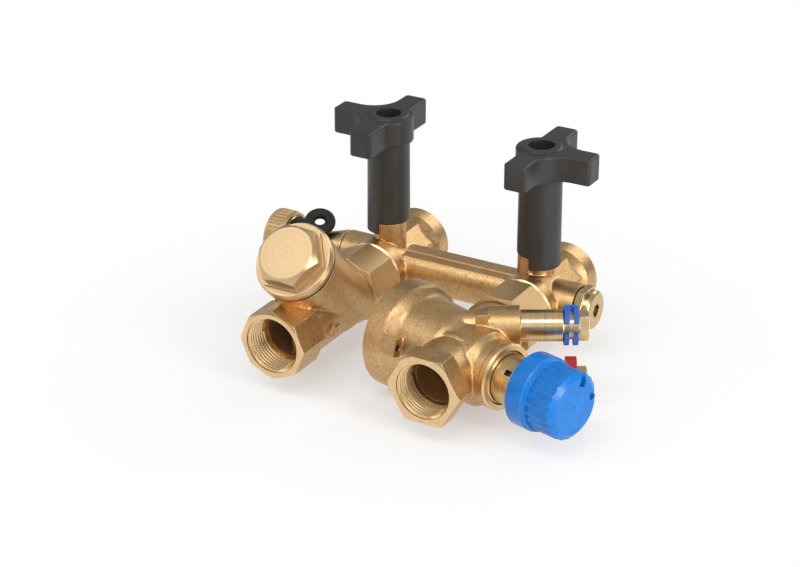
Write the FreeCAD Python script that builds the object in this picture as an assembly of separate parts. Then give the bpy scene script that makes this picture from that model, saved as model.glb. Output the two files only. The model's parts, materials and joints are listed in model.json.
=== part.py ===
import FreeCAD, Part
import math
import os

# Brass connection set for a fan-coil unit, built round a pressure independent control valve.
# Two parallel pipe lines leave a bypass body with a T-port ball valve in each line. The left line holds
# a Y-strainer, the right line the control valve with its capped spindle and two test plugs.
# Millimetres, +Z up along the ball valve stems, +X along the bypass bar, +Y out of the rear pipe sockets.
# The origin is the centre of the control line's rear socket mouth.

Vec = FreeCAD.Vector
X_AXIS = Vec(1, 0, 0)
Y_AXIS = Vec(0, 1, 0)
Z_AXIS = Vec(0, 0, 1)
CENTRE = Vec(0, 0, 0)

# Clearances
RUNNING = 0.05          # shafts and sleeves that turn or slide in a bore, radial
THREAD_PLAY = 0.1       # screwed pieces in their bores, radial
FREE = 0.3              # pieces that pass each other without touching

# Layout of the two lines
LINE_SPACING = 80.0     # between the two flow axes
REAR_REACH = 30.5       # bar axis to the rear socket mouths
LEFT_X = -LINE_SPACING
RIGHT_X = 0.0
BAR_Y = -REAR_REACH

# Pipe sockets, Rp 3/4: the wall is at the thread's outer diameter
PIPE_RADIUS = 13.22
PIPE_DEPTH = 14.5
REAR_PIPE_DEPTH = 13.0
EDGE_CHAMFER = 0.8

# Bypass body
HOUSING_FLATS = 27.0    # octagon across flats
HOUSING_REAR = 18.5
HOUSING_FRONT = 11.0
FRONT_BOSS_RADIUS = 15.3
FRONT_BOSS_END = 17.0
SPIGOT_RADIUS = 13.15   # male union thread
SPIGOT_END = 27.0
SOCKET_RADIUS = 16.1
SOCKET_ROOT_RADIUS = 13.6
SOCKET_ROOT = 17.0
SOCKET_FLARE_END = 21.5
BAR_RADIUS = 10.6
BAR_FLAT = 8.3          # height of the bar's flat top
BAR_RIB_WIDTH = 7.0
BAR_RIB_HEIGHT = 0.8
BAR_RIB_SHIFT = 2.0     # rib centre behind the bar axis
BAR_BORE = 5.5
BOSS_RADIUS = 10.7
BOSS_REACH = 22.0       # stem axis to the end boss face
BOSS_THREAD_RADIUS = 8.0
BOSS_THREAD_DEPTH = 9.0
BODY_BORE_REAR = 9.0    # water way between the rear seat and the pipe socket

# Ball valves
BALL_RADIUS = 10.2
BALL_BORE = 6.0
CHAMBER_RADIUS = 10.6
SEAT_FRONT = 6.2
SEAT_BACK = 9.5
SEAT_BORE = 6.5
RETAINER_LENGTH = 5.0
RETAINER_BORE = 7.0
RETAINER_SLOT = 2.4
STEM_RADIUS = 4.0
STEM_COLLAR_RADIUS = 5.0
STEM_COLLAR_LOW = 10.7
STEM_COLLAR_HIGH = 12.0
TANG_WIDTH = 2.8
TANG_LENGTH = 7.0
TANG_LOW = 7.8
STEM_SQUARE = 6.0
STEM_SQUARE_LOW = 38.0
STEM_TOP = 52.0
STEM_SEAL_LOW = 21.0
STEM_SEAL_HEIGHT = 1.8
STEM_SEAL_DEPTH = 1.1
NECK_RADIUS = 6.8
NECK_TOP = 29.0
STOP_RADIUS = 9.8
STOP_TOP = 23.0
STOP_PLAY_DEG = 2.0     # angle left between the stop lug and the handle's skirt
GLAND_FLATS = 11.0
GLAND_HEIGHT = 5.0

# Handles
SKIRT_RADIUS = 10.0
SKIRT_BORE = 8.2
SKIRT_LONG_LOW = 17.8
SKIRT_SHORT_LOW = 23.6
SKIRT_HOLLOW_TOP = 40.0
SKIRT_DRAFT = 0.25      # the skirt is that much wider at its lower edge
HANDLE_LOW = 62.8
HANDLE_ARM_TOP = 75.4
HANDLE_HUB_TOP = 76.2
HUB_RADIUS = 11.8
HUB_STEP = 2.0          # the core of the hub lies this far inside it
ARM_REACH = 27.0
ARM_HALF_WIDTH = 5.6
ARM_WEB_RADIUS = 13.0   # hollow curve between neighbouring arms
ARM_CORNER = 1.8
HANDLE_EDGE = 1.0
TOP_BORE = 6.1
TOP_BORE_LOW = 55.0
SCREW_RADIUS = 2.0
SCREW_HEAD_RADIUS = 4.2
SCREW_HEAD_HEIGHT = 3.2
SCREW_LENGTH = 9.0
SCREW_KEY_FLATS = 3.2

# Union nuts and their joints
NUT_FLATS = 30.8        # octagon across flats
NUT_START = 18.0
NUT_END = 40.0
NUT_CHAMFER = 1.2
NUT_LIP_RADIUS = 11.2
GASKET_THICK = 2.0
GASKET_BORE = 9.2
TAIL_RADIUS = 10.9
TAIL_BORE = 9.0
SNAP_RING_WIRE = 1.6
SNAP_RING_SETBACK = 3.0  # tail end to the ring's groove
SNAP_RING_DEPTH = 0.8

# Strainer
STRAINER_PORT = 104.7   # bar axis to the front socket mouth
STRAINER_FLATS = 30.9   # octagon across flats, a corner on top
STRAINER_HEX_LENGTH = 19.5
STRAINER_TUBE_RADIUS = 14.5
STRAINER_TAIL_CONE = 41.0
STRAINER_TAIL_RADIUS = 15.6
STRAINER_WAIST = 57.0
STRAINER_WAIST_RADIUS = 12.6
STRAINER_BORE = 10.8
ARROW_TAIL = 71.0       # flow arrow on the tube's inner side, from its tail to its tip
ARROW_SHAFT_LENGTH = 5.0
ARROW_HEAD_LENGTH = 4.5
ARROW_NECK = ARROW_TAIL + ARROW_SHAFT_LENGTH
ARROW_TIP = ARROW_NECK + ARROW_HEAD_LENGTH
ARROW_HALF_WIDTH = 3.2
ARROW_SHAFT = 1.4
ARROW_HEIGHT = -1.0
ARROW_RELIEF = 0.5
RIB_THICK = 1.6         # rib in the outlet
RIB_START = 74.0
RIB_END = 86.0
LEG_FRONT = 50.7        # bar axis to where the leg's axis meets the flow axis
LEG_ANGLE = 45.0
LEG_RADIUS = 17.4
LEG_LOW = 6.0
LEG_COLLAR_RADIUS = 18.2
LEG_COLLAR_LOW = 33.0
LEG_MOUTH = 43.6
LEG_BORE = 14.0
LEG_FLOOR = 3.0
PLUG_FLANGE_RADIUS = 18.6
PLUG_FLANGE = 4.4
PLUG_STEP_FLATS = 29.6
PLUG_STEP = 1.4
PLUG_FLATS = 27.0
PLUG_HEX = 6.6
PLUG_FACE_RADIUS = 12.5
PLUG_THREAD = 8.0
PLUG_SEAL_THICK = 1.2
BASKET_RADIUS = 12.2
BASKET_WALL = 0.6
BASKET_ROWS = 6
BASKET_HOLES = 14
BASKET_HOLE_RADIUS = 1.3

# Control valve body, along the spindle axis from where it meets the flow axis
VALVE_PORT = 109.4      # bar axis to the front socket mouth
PORT_FLATS = 31.2       # hexagon across flats, a flat on top
PORT_HEX_LENGTH = 11.0
PORT_NECK_RADIUS = 15.2
PORT_BORE = 11.3
CHAMBER_BODY_RADIUS = 16.4
VALVE_TAIL_CONE = 41.0
VALVE_TAIL_RADIUS = 14.0
SPINDLE_FRONT = 72.8
SPINDLE_LEAN = 15.0
BELL_END = -38.5
BELL_RADIUS = 25.2
BELL_BAND_END = -28.5
BELL_SHOULDER_END = -22.5
BARREL_RADIUS = 21.4
BARREL_END = -4.0
BARREL_END_RADIUS = 20.3
COLLAR_START = 2.0
COLLAR_RADIUS = 17.4
COLLAR_END = 14.0
NECK_WAIST = 18.0
NECK_WAIST_RADIUS = 14.9
NECK_RING_START = 22.5
NECK_RING_RADIUS = 15.4
NECK_RING_END = 26.5
LUG_ANGLE = 164.0       # from the rear, turning up and over to the front
LUG_WIDTH = 8.5
LUG_RADIUS = 25.2
LUG_LOW = -27.0
LUG_HIGH = -18.5
LUG_HOLE = 1.5

# Control valve inside
MAIN_BORE = 12.6
BELL_BORE = 22.6
BELL_SHELF = -31.0      # the diaphragm's rim lies here
BELL_POCKET_RADIUS = 19.5
BELL_POCKET_END = -25.0
DIAPHRAGM_THICK = 1.0
DIAPHRAGM_HOLE = 5.0
COVER_INSET = 0.4
COVER_THICK = 2.6
COVER_RIM = 2.4
COVER_KEY_RADIUS = 2.0
COVER_KEY_PCD = 26.0
CLAMP_RADIUS = 13.0
CLAMP_THICK = 1.6
PLATE_RADIUS = 15.0
PLATE_THICK = 2.0
SLEEVE_WALL = 2.2
SLEEVE_END = -5.0
CARTRIDGE_START = -13.0
CARTRIDGE_WALL = 2.9
CARTRIDGE_END = 9.5
CARTRIDGE_WINDOWS = 6
CARTRIDGE_WINDOW_LOW = -9.0
CARTRIDGE_WINDOW_HIGH = 5.5
CARTRIDGE_WINDOW_WIDTH = 6.5
SPRING_WIRE = 1.5
SPRING_TURNS = 4.0

# Bonnet, spindle and cap
BONNET_NECK_RADIUS = 11.4
BONNET_HEAD_RADIUS = 14.85
BONNET_HEAD_LOW = 41.0
BONNET_HEAD_HIGH = 46.3
BONNET_FLOOR_LOW = 12.0
BONNET_FLOOR_HIGH = 18.0
BONNET_BORE = 9.0
BONNET_LOWER_BORE = 8.0
BONNET_SLOTS = 3
BONNET_SLOT_LOW = 32.3
BONNET_SLOT_HIGH = 36.0
BONNET_SLOT_WIDTH = 2.6
BONNET_SLOT_START = 15.0  # first slot from the rear, turning up
BONNET_SEAL_LOW = 14.0
BONNET_SEAL_HEIGHT = 2.0
BONNET_SEAL_DEPTH = 1.4
SETTING_LOW = 19.0
SETTING_HIGH = 38.0
SETTING_BORE = 5.0
GUIDE_LOW = 40.0
SPINDLE_RADIUS = 2.4
SPINDLE_PLUG_RADIUS = 6.6
SPINDLE_PLUG_LOW = -3.5
SPINDLE_PLUG_HIGH = 0.5
SPINDLE_END = 54.5
SPINDLE_COLLAR_RADIUS = 4.5
SPINDLE_COLLAR_LOW = 36.8
SPINDLE_COLLAR_HIGH = 38.4
SPINDLE_SPRING_RADIUS = 3.7
SPINDLE_SPRING_WIRE = 1.2
SPINDLE_SPRING_TURNS = 6.0
CAP_START = 39.9
CAP_SKIRT_RADIUS = 17.0
CAP_STEP = 49.6
CAP_STEP_RADIUS = 16.2
CAP_STEP_END = 51.0
CAP_GRIP_RADIUS = 15.5
CAP_GRIP_END = 63.6
CAP_FACE = 65.8
CAP_FACE_RADIUS = 12.6
CAP_SKIRT_BORE = 15.2
CAP_GRIP_BORE = 12.6
CAP_INSIDE = 62.4
CAP_BOSS_RADIUS = 4.0
CAP_FLUTES = 24
CAP_FLUTE_RADIUS = 2.6
CAP_FLUTE_DEPTH = 0.6
CAP_EDGE = 0.8
CAP_PIP_RADIUS = 0.9
CAP_PIP_HEIGHT = 0.4
EYE_ANGLE = 38.0        # middle of the sealing eye, from the rear, turning up
EYE_SPAN = 38.0
EYE_RADIUS = 13.4
EYE_LOW = 60.0
EYE_TOP = 65.4
NOTCH_ANGLES = (10.0, 66.0)
NOTCH_WIDTH = 4.0
NOTCH_FLOOR = 9.4
NOTCH_LOW = 63.3

# Test plugs
TEST_FRONT = 67.4       # bar axis to where the plugs' plane meets the flow axis
TEST_SWING = 30.0       # plug axes turned from +X towards the rear
TEST_HEIGHT = 13.85     # above and below the flow axis
TEST_ROOT_RADIUS = 5.8
TEST_ROOT = -9.0
TEST_SHOULDER = 5.0     # from here the root slopes up to the boss
TEST_SHOULDER_RADIUS = 7.5
TEST_SHOULDER_END = 8.5
TEST_BOSS_RADIUS = 9.0
TEST_BOSS_END = 22.2
TEST_BORE = 6.0
TEST_BORE_LOW = 12.0
TEST_DRILL = 1.5
TEST_TUBE_RADIUS = 7.15
TEST_TUBE_END = 41.6
TEST_STUB_RADIUS = 4.5
TEST_STUB_END = 48.0
TEST_GROOVE_RADIUS = 6.2
TEST_GROOVE_END = 44.9
TEST_CAP_GROOVE_END = 48.2
TEST_CAP_END = 52.8
TEST_CAP_FLATS = 11.8
TEST_CAP_CHAMFER = 0.5
TEST_CORE_LOW = 26.0
TEST_CORE_RADIUS = 3.0
TEST_HOLE = 1.6
STRAP_RADIUS = 8.8
STRAP_GAP = 0.2
STRAP_RING = 2.1
STRAP_BRIDGE_WIDTH = 5.0
STRAP_BRIDGE_REACH = 11.2
STRAP_MOUTH = 42.0      # degrees left open in each ring
STRAP_MOUTH_ANGLE = 154.0  # middle of the opening from the bridge, turning to the front
PAD_SIZE = 5.0
PAD_LOW = 3.0
PAD_RISE = 6.0
PAD_FRONT = 4.8

# Vent plug on the right end boss
END_SEAL_THICK = 0.7
END_SEAL_RADIUS = 9.6
VENT_FLATS = 19.0
VENT_HEX = 3.6
VENT_BUTTON_RADIUS = 9.3
VENT_BUTTON = 3.9
VENT_ROUND = 2.0
VENT_KEY_FLATS = 6.0
VENT_KEY_DEPTH = 4.0

# Drain connection on the left end boss
DRAIN_FLANGE_RADIUS = 10.3
DRAIN_CONE = 11.0
DRAIN_NECK_RADIUS = 7.8
DRAIN_NECK = 31.0       # boss face to the start of the hose thread
DRAIN_THREAD_RADIUS = 11.0
DRAIN_THREAD = 6.0
DRAIN_BORE = 4.6
DRAIN_CAP_START = 31.5  # boss face to the cap's rim
DRAIN_CAP_RADIUS = 13.2
DRAIN_CAP_LENGTH = 10.6
DRAIN_CAP_ROUND = 1.6
DRAIN_CAP_RIM = 2.2
DRAIN_CAP_RIM_RADIUS = 12.7
DRAIN_FLUTES = 36
DRAIN_FLUTE_RADIUS = 0.7
DRAIN_SEAL_THICK = 1.6
STRAP_NECK_RADIUS = 9.8
STRAP_NECK_LENGTH = 4.0
STRAP_NECK_SETBACK = 0.8
LOOP_RADIUS = 5.0
LOOP_TUBE = 2.6
LOOP_REACH = 16.0       # boss face to the loop's middle
LOOP_HEIGHT = 12.4
LOOP_FRONT = 1.0        # in front of the bar axis
LOOP_TILT = 30.0        # the loop's axis leans to the front
LOOP_TURN = 30.0        # and that lean is turned to the right
LOOP_TAB_WIDTH = 4.4
LOOP_TAB_TOP = 11.2


def frame(origin, x_axis, z_axis):
    """Placement of a piece that is modelled along its own Z; x_axis settles its roll."""
    y_axis = z_axis.cross(x_axis)
    return FreeCAD.Placement(origin, FreeCAD.Rotation(x_axis, y_axis, z_axis, "ZXY"))


def put(shape, place):
    """The shape carried from its own frame to the set's frame."""
    return shape.transformed(place.toMatrix(), True)


def line_frame(line_x):
    """Flow axis of a line: Z runs to the front from the bar axis, X stays X, Y is up."""
    return frame(Vec(line_x, BAR_Y, 0), X_AXIS, -Y_AXIS)


def stem_frame(line_x, outward):
    """Stem axis of a line, with X pointing away from the other line."""
    return frame(Vec(line_x, BAR_Y, 0), X_AXIS * outward, Z_AXIS)


def boss_frame(line_x, outward):
    """Axis of an end boss from its face outwards, Y up."""
    return frame(Vec(line_x + outward * BOSS_REACH, BAR_Y, 0), Y_AXIS * outward, X_AXIS * outward)


def swung(angle_deg):
    """Level direction turned from +X towards +Y."""
    angle = math.radians(angle_deg)
    return Vec(math.cos(angle), math.sin(angle), 0)


def spindle_frame():
    """Spindle axis of the control valve, Y up."""
    direction = swung(-SPINDLE_LEAN)
    return frame(Vec(RIGHT_X, BAR_Y - SPINDLE_FRONT, 0), Z_AXIS.cross(direction), direction)


def test_frame(side):
    """Axis of a test plug, Y up; side is 1 for the upper plug and -1 for the lower one."""
    direction = swung(TEST_SWING)
    origin = Vec(RIGHT_X, BAR_Y - TEST_FRONT, side * TEST_HEIGHT)
    return frame(origin, Z_AXIS.cross(direction), direction)


def leg_frame():
    """Axis of the strainer's leg, rising to the front."""
    angle = math.radians(LEG_ANGLE)
    return frame(Vec(LEFT_X, BAR_Y - LEG_FRONT, 0), X_AXIS, Vec(0, -math.cos(angle), math.sin(angle)))


def turned(profile):
    """Solid turned about Z from a closed outline of (radius, height) points."""
    points = [Vec(radius, 0, height) for radius, height in profile]
    outline = Part.makePolygon(points + points[:1])
    return Part.Face(outline).revolve(CENTRE, Z_AXIS, 360)


def rod(radius, low, high):
    return Part.makeCylinder(radius, high - low, Vec(0, 0, low))


def ring(outer, inner, low, high):
    return rod(outer, low, high).cut(rod(inner, low, high))


def block(x_size, y_size, low, high, x_mid=0.0, y_mid=0.0):
    return Part.makeBox(x_size, y_size, high - low, Vec(x_mid - x_size / 2, y_mid - y_size / 2, low))


def prism(sides, flats, low, high, flat_up=True):
    """Prism of a regular polygon, with a flat or a corner towards +Y."""
    corner = flats / 2 / math.cos(math.pi / sides)
    start = math.pi / 2 + (math.pi / sides if flat_up else 0)
    angles = [start + 2 * math.pi * k / sides for k in range(sides)]
    points = [Vec(corner * math.cos(a), corner * math.sin(a), low) for a in angles]
    return Part.Face(Part.makePolygon(points + points[:1])).extrude(Vec(0, 0, high - low))


def nut_blank(sides, flats, low, high, chamfer, flat_up=True):
    """Prism with its corners turned off by a chamfer at both ends."""
    corner = flats / 2 / math.cos(math.pi / sides)
    face = corner - 2 * chamfer
    barrel = turned([(0, low), (face, low), (corner + FREE, low + chamfer), (corner + FREE, high - chamfer),
                     (face, high), (0, high)])
    return prism(sides, flats, low, high, flat_up).common(barrel)


def around(shape, count, start_deg=0.0):
    """Copies of a shape turned evenly about Z."""
    copies = []
    for k in range(count):
        copy = shape.copy()
        copy.rotate(CENTRE, Z_AXIS, start_deg + 360.0 * k / count)
        copies.append(copy)
    return copies


def fused(shapes):
    return shapes[0].multiFuse(shapes[1:]).removeSplitter()


def hole_between(start, end, radius):
    """Drilled hole from one point to another."""
    run = end - start
    return Part.makeCylinder(radius, run.Length, start, run)


def coil(mean_radius, wire, low, high, turns):
    """Compression spring between two heights."""
    pitch = (high - low - wire) / turns
    path = Part.makeHelix(pitch, high - low - wire, mean_radius)
    section = Part.Wire(Part.makeCircle(wire / 2, Vec(mean_radius, 0, 0), Y_AXIS))
    solid = Part.Wire(path.Edges).makePipeShell([section], True, True)
    solid.translate(Vec(0, 0, low + wire / 2))
    return solid


# Bypass body

def line_castings(line_x):
    """Outside of one line of the bypass body: housing, front boss with union thread, rear socket."""
    housing = prism(8, HOUSING_FLATS, -HOUSING_REAR, HOUSING_FRONT)
    front = turned([(0, 0), (FRONT_BOSS_RADIUS, 0), (FRONT_BOSS_RADIUS, FRONT_BOSS_END - EDGE_CHAMFER),
                    (FRONT_BOSS_RADIUS - EDGE_CHAMFER, FRONT_BOSS_END), (SPIGOT_RADIUS, FRONT_BOSS_END),
                    (SPIGOT_RADIUS, SPIGOT_END - EDGE_CHAMFER), (SPIGOT_RADIUS - EDGE_CHAMFER, SPIGOT_END),
                    (0, SPIGOT_END)])
    front = front.cut(rod(FRONT_BOSS_RADIUS + FREE, 0, HOUSING_FRONT - EDGE_CHAMFER))
    socket = turned([(0, -SOCKET_ROOT), (SOCKET_ROOT_RADIUS, -SOCKET_ROOT),
                     (SOCKET_RADIUS, -SOCKET_FLARE_END), (SOCKET_RADIUS, EDGE_CHAMFER - REAR_REACH),
                     (SOCKET_RADIUS - EDGE_CHAMFER, -REAR_REACH), (0, -REAR_REACH)])
    return [put(piece, line_frame(line_x)) for piece in (housing, front, socket)]


def neck_castings(line_x, outward):
    """Stem neck with the quarter lug that stops the handle."""
    neck = rod(NECK_RADIUS, 0, NECK_TOP)
    lug = Part.makeCylinder(STOP_RADIUS, STOP_TOP, CENTRE, Z_AXIS, 90 - 2 * STOP_PLAY_DEG)
    lug.rotate(CENTRE, Z_AXIS, STOP_PLAY_DEG + (-90 if outward < 0 else 180))
    base = FreeCAD.Placement(Vec(line_x, BAR_Y, 0), FreeCAD.Rotation())
    return [put(neck, base), put(lug, base)]


def bar_casting():
    """Bypass bar with its flat top and raised rib."""
    place = frame(Vec(LEFT_X, BAR_Y, 0), Y_AXIS, X_AXIS)
    bar = rod(BAR_RADIUS, 0, LINE_SPACING)
    flat = block(2 * BAR_RADIUS, BAR_RADIUS, 0, LINE_SPACING, 0, BAR_FLAT + BAR_RADIUS / 2)
    rib = block(BAR_RIB_WIDTH, BAR_FLAT + BAR_RIB_HEIGHT, 0, LINE_SPACING, BAR_RIB_SHIFT,
                (BAR_FLAT + BAR_RIB_HEIGHT) / 2)
    return put(bar.cut(flat).fuse(rib), place)


def bypass_body():
    solids = [bar_casting()]
    cuts = []
    for line_x, outward in ((LEFT_X, -1), (RIGHT_X, 1)):
        solids += line_castings(line_x)
        solids += neck_castings(line_x, outward)
        solids.append(put(rod(BOSS_RADIUS, -BOSS_REACH, 0), boss_frame(line_x, outward)))
        chamber = rod(CHAMBER_RADIUS, -SEAT_BACK, SPIGOT_END)
        rear_way = rod(BODY_BORE_REAR, -REAR_REACH, -SEAT_BACK)
        pipe = rod(PIPE_RADIUS, -REAR_REACH, REAR_PIPE_DEPTH - REAR_REACH)
        cuts += [put(piece, line_frame(line_x)) for piece in (chamber, rear_way, pipe)]
        stem_hole = rod(STEM_RADIUS + RUNNING, 0, NECK_TOP)
        pocket = rod(STEM_COLLAR_RADIUS + FREE, 0, STEM_COLLAR_HIGH + FREE)
        cuts += [put(piece, stem_frame(line_x, outward)) for piece in (stem_hole, pocket)]
        cuts.append(put(rod(BOSS_THREAD_RADIUS, -BOSS_THREAD_DEPTH, 0), boss_frame(line_x, outward)))
        cuts.append(put(rod(BAR_BORE, -BOSS_REACH, 0), boss_frame(line_x, outward)))
    cuts.append(put(rod(BAR_BORE, 0, LINE_SPACING), frame(Vec(LEFT_X, BAR_Y, 0), Y_AXIS, X_AXIS)))
    return fused(solids).cut(fused(cuts))


# Ball valves

def ball(line_x, outward):
    """T-port ball: a way along the line and one outwards, with the stem's slot on top."""
    body = Part.makeSphere(BALL_RADIUS)
    along = put(rod(BALL_BORE, -BALL_RADIUS, BALL_RADIUS), frame(CENTRE, X_AXIS, Y_AXIS))
    side = put(rod(BALL_BORE, 0, BALL_RADIUS), frame(CENTRE, Y_AXIS, X_AXIS))
    slot = block(TANG_WIDTH + 2 * RUNNING, 2 * BALL_RADIUS, TANG_LOW - FREE, BALL_RADIUS)
    return put(body.cut(fused([along, side, slot])), stem_frame(line_x, outward))


def seat(line_x, side):
    """Seat ring with its ball face; side is 1 in front of the ball and -1 behind it."""
    blank = ring(CHAMBER_RADIUS - RUNNING, SEAT_BORE, SEAT_FRONT, SEAT_BACK)
    shape = blank.cut(Part.makeSphere(BALL_RADIUS + FREE))
    place = frame(Vec(line_x, BAR_Y, 0), X_AXIS, -Y_AXIS * side)
    return put(shape, place)


def seat_retainer(line_x):
    """Screwed ring with a spanner slot, on the front seat's back."""
    end = SEAT_BACK + RETAINER_LENGTH
    shape = ring(CHAMBER_RADIUS - THREAD_PLAY, RETAINER_BORE, SEAT_BACK, end)
    slot = block(2 * CHAMBER_RADIUS, RETAINER_SLOT, end - RETAINER_SLOT, end)
    return put(shape.cut(slot), line_frame(line_x))


def stem(line_x, outward):
    shaft = rod(STEM_RADIUS, STEM_COLLAR_LOW, STEM_SQUARE_LOW)
    collar = rod(STEM_COLLAR_RADIUS, STEM_COLLAR_LOW, STEM_COLLAR_HIGH)
    tang = block(TANG_WIDTH, TANG_LENGTH, TANG_LOW, STEM_COLLAR_HIGH)
    square = block(STEM_SQUARE, STEM_SQUARE, STEM_SQUARE_LOW, STEM_TOP)
    groove = ring(STEM_RADIUS + FREE, STEM_RADIUS - STEM_SEAL_DEPTH, STEM_SEAL_LOW,
                  STEM_SEAL_LOW + STEM_SEAL_HEIGHT)
    tapped = rod(SCREW_RADIUS + THREAD_PLAY, STEM_TOP - SCREW_LENGTH, STEM_TOP)
    shape = fused([shaft, collar, tang, square]).cut(fused([groove, tapped]))
    return put(shape, stem_frame(line_x, outward))


def stem_seal(line_x, outward):
    shape = ring(STEM_RADIUS + RUNNING / 2, STEM_RADIUS - STEM_SEAL_DEPTH, STEM_SEAL_LOW,
                 STEM_SEAL_LOW + STEM_SEAL_HEIGHT)
    return put(shape, stem_frame(line_x, outward))


def gland_nut(line_x, outward):
    shape = nut_blank(6, GLAND_FLATS, NECK_TOP, NECK_TOP + GLAND_HEIGHT, EDGE_CHAMFER / 2)
    return put(shape.cut(rod(STEM_RADIUS + RUNNING, NECK_TOP, NECK_TOP + GLAND_HEIGHT)),
               stem_frame(line_x, outward))


def handle_head():
    """Three-armed head: two arms across, one outwards, hollow curves between, a round back."""
    arms = fused([rod(HUB_RADIUS, HANDLE_LOW, HANDLE_ARM_TOP),
                  block(2 * ARM_HALF_WIDTH, 2 * ARM_REACH, HANDLE_LOW, HANDLE_ARM_TOP),
                  block(ARM_REACH, 2 * ARM_HALF_WIDTH, HANDLE_LOW, HANDLE_ARM_TOP, ARM_REACH / 2)])
    tips = [edge for edge in arms.Edges if is_arm_tip(edge)]
    arms = arms.makeFillet(ARM_CORNER, tips)
    web_end = ARM_HALF_WIDTH + ARM_WEB_RADIUS
    for side in (-1, 1):
        web = block(web_end, web_end, HANDLE_LOW, HANDLE_ARM_TOP, web_end / 2, side * web_end / 2)
        hollow = rod(ARM_WEB_RADIUS, HANDLE_LOW, HANDLE_ARM_TOP)
        hollow.translate(Vec(web_end, side * web_end, 0))
        arms = arms.fuse(web.cut(hollow))
    arms = arms.removeSplitter()
    rims = [edge for edge in arms.Edges if is_level_rim(edge)]
    return arms.makeFillet(HANDLE_EDGE, rims)


def is_arm_tip(edge):
    """Upright edges at the outer corners of the arms."""
    middle = edge.CenterOfMass
    upright = abs(edge.BoundBox.ZLength - (HANDLE_ARM_TOP - HANDLE_LOW)) < 1e-6
    return upright and max(abs(middle.x), abs(middle.y)) > ARM_REACH - 1e-6


def is_level_rim(edge):
    """Edges round the head's top and bottom faces."""
    box = edge.BoundBox
    return box.ZLength < 1e-6 and min(abs(box.ZMin - HANDLE_LOW), abs(box.ZMin - HANDLE_ARM_TOP)) < 1e-6


def handle(line_x, outward):
    """Moulded handle: long skirt with a stepped lower edge, square socket, head with a top bore."""
    skirt = turned([(0, SKIRT_LONG_LOW), (SKIRT_RADIUS + SKIRT_DRAFT, SKIRT_LONG_LOW),
                    (SKIRT_RADIUS, HANDLE_LOW + HANDLE_EDGE), (0, HANDLE_LOW + HANDLE_EDGE)])
    hub = turned([(0, HANDLE_LOW + HANDLE_EDGE), (HUB_RADIUS - HUB_STEP, HANDLE_LOW + HANDLE_EDGE),
                  (HUB_RADIUS - HUB_STEP, HANDLE_HUB_TOP - EDGE_CHAMFER),
                  (HUB_RADIUS - HUB_STEP - EDGE_CHAMFER, HANDLE_HUB_TOP), (0, HANDLE_HUB_TOP)])
    shape = fused([skirt, hub, handle_head()])
    half = SKIRT_RADIUS + 1
    step = Part.makeBox(half, 2 * half, SKIRT_SHORT_LOW - SKIRT_LONG_LOW, Vec(-half, -half, SKIRT_LONG_LOW))
    socket = STEM_SQUARE + 2 * THREAD_PLAY
    cuts = [step, rod(SKIRT_BORE, SKIRT_LONG_LOW, SKIRT_HOLLOW_TOP),
            block(socket, socket, SKIRT_HOLLOW_TOP, STEM_TOP),
            rod(SCREW_RADIUS + FREE, STEM_TOP, TOP_BORE_LOW), rod(TOP_BORE, TOP_BORE_LOW, HANDLE_HUB_TOP)]
    return put(shape.cut(fused(cuts)), stem_frame(line_x, outward))


def handle_screw(line_x, outward):
    head_top = TOP_BORE_LOW + SCREW_HEAD_HEIGHT
    shank = rod(SCREW_RADIUS, STEM_TOP - SCREW_LENGTH + FREE, TOP_BORE_LOW)
    head = rod(SCREW_HEAD_RADIUS, TOP_BORE_LOW, head_top)
    key = prism(6, SCREW_KEY_FLATS, TOP_BORE_LOW + SCREW_HEAD_HEIGHT / 3, head_top)
    return put(shank.fuse(head).removeSplitter().cut(key), stem_frame(line_x, outward))


# Union joints

def tail_end():
    """Where a line's tail piece begins: behind the gasket on the body's union face."""
    return SPIGOT_END + GASKET_THICK


def union_nut(line_x, flat_up):
    """Octagonal union nut that draws the tail's snap ring to the body's thread."""
    shape = nut_blank(8, NUT_FLATS, NUT_START, NUT_END, NUT_CHAMFER, flat_up)
    lip = tail_end() + SNAP_RING_SETBACK + SNAP_RING_WIRE
    bore = rod(SPIGOT_RADIUS + THREAD_PLAY, NUT_START, lip)
    return put(shape.cut(fused([bore, rod(NUT_LIP_RADIUS, NUT_START, NUT_END)])), line_frame(line_x))


def nut_room(line_x):
    """Space round a union nut that the casting behind it keeps clear of."""
    corner = NUT_FLATS / 2 / math.cos(math.pi / 8)
    return put(rod(corner + FREE, NUT_START, NUT_END + FREE), line_frame(line_x))


def union_gasket(line_x):
    return put(ring(SPIGOT_RADIUS - EDGE_CHAMFER, GASKET_BORE, SPIGOT_END, tail_end()), line_frame(line_x))


def snap_ring(line_x):
    low = tail_end() + SNAP_RING_SETBACK
    shape = ring(SPIGOT_RADIUS - FREE, TAIL_RADIUS - SNAP_RING_DEPTH, low, low + SNAP_RING_WIRE)
    mouth = block(SPIGOT_RADIUS, SNAP_RING_WIRE, low, low + SNAP_RING_WIRE, -SPIGOT_RADIUS / 2)
    return put(shape.cut(mouth), line_frame(line_x))


def tail(cone_start, cone_radius, neck_start, neck_radius):
    """Tail of a line behind its nut: plain spigot with the snap ring's groove, then a cone."""
    low = tail_end() + SNAP_RING_SETBACK
    shape = turned([(0, tail_end()), (TAIL_RADIUS, tail_end()), (TAIL_RADIUS, cone_start),
                    (cone_radius - EDGE_CHAMFER, cone_start), (cone_radius, cone_start + EDGE_CHAMFER),
                    (neck_radius, neck_start), (0, neck_start)])
    return shape.cut(ring(TAIL_RADIUS + FREE, TAIL_RADIUS - SNAP_RING_DEPTH, low, low + SNAP_RING_WIRE))


# Strainer

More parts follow.
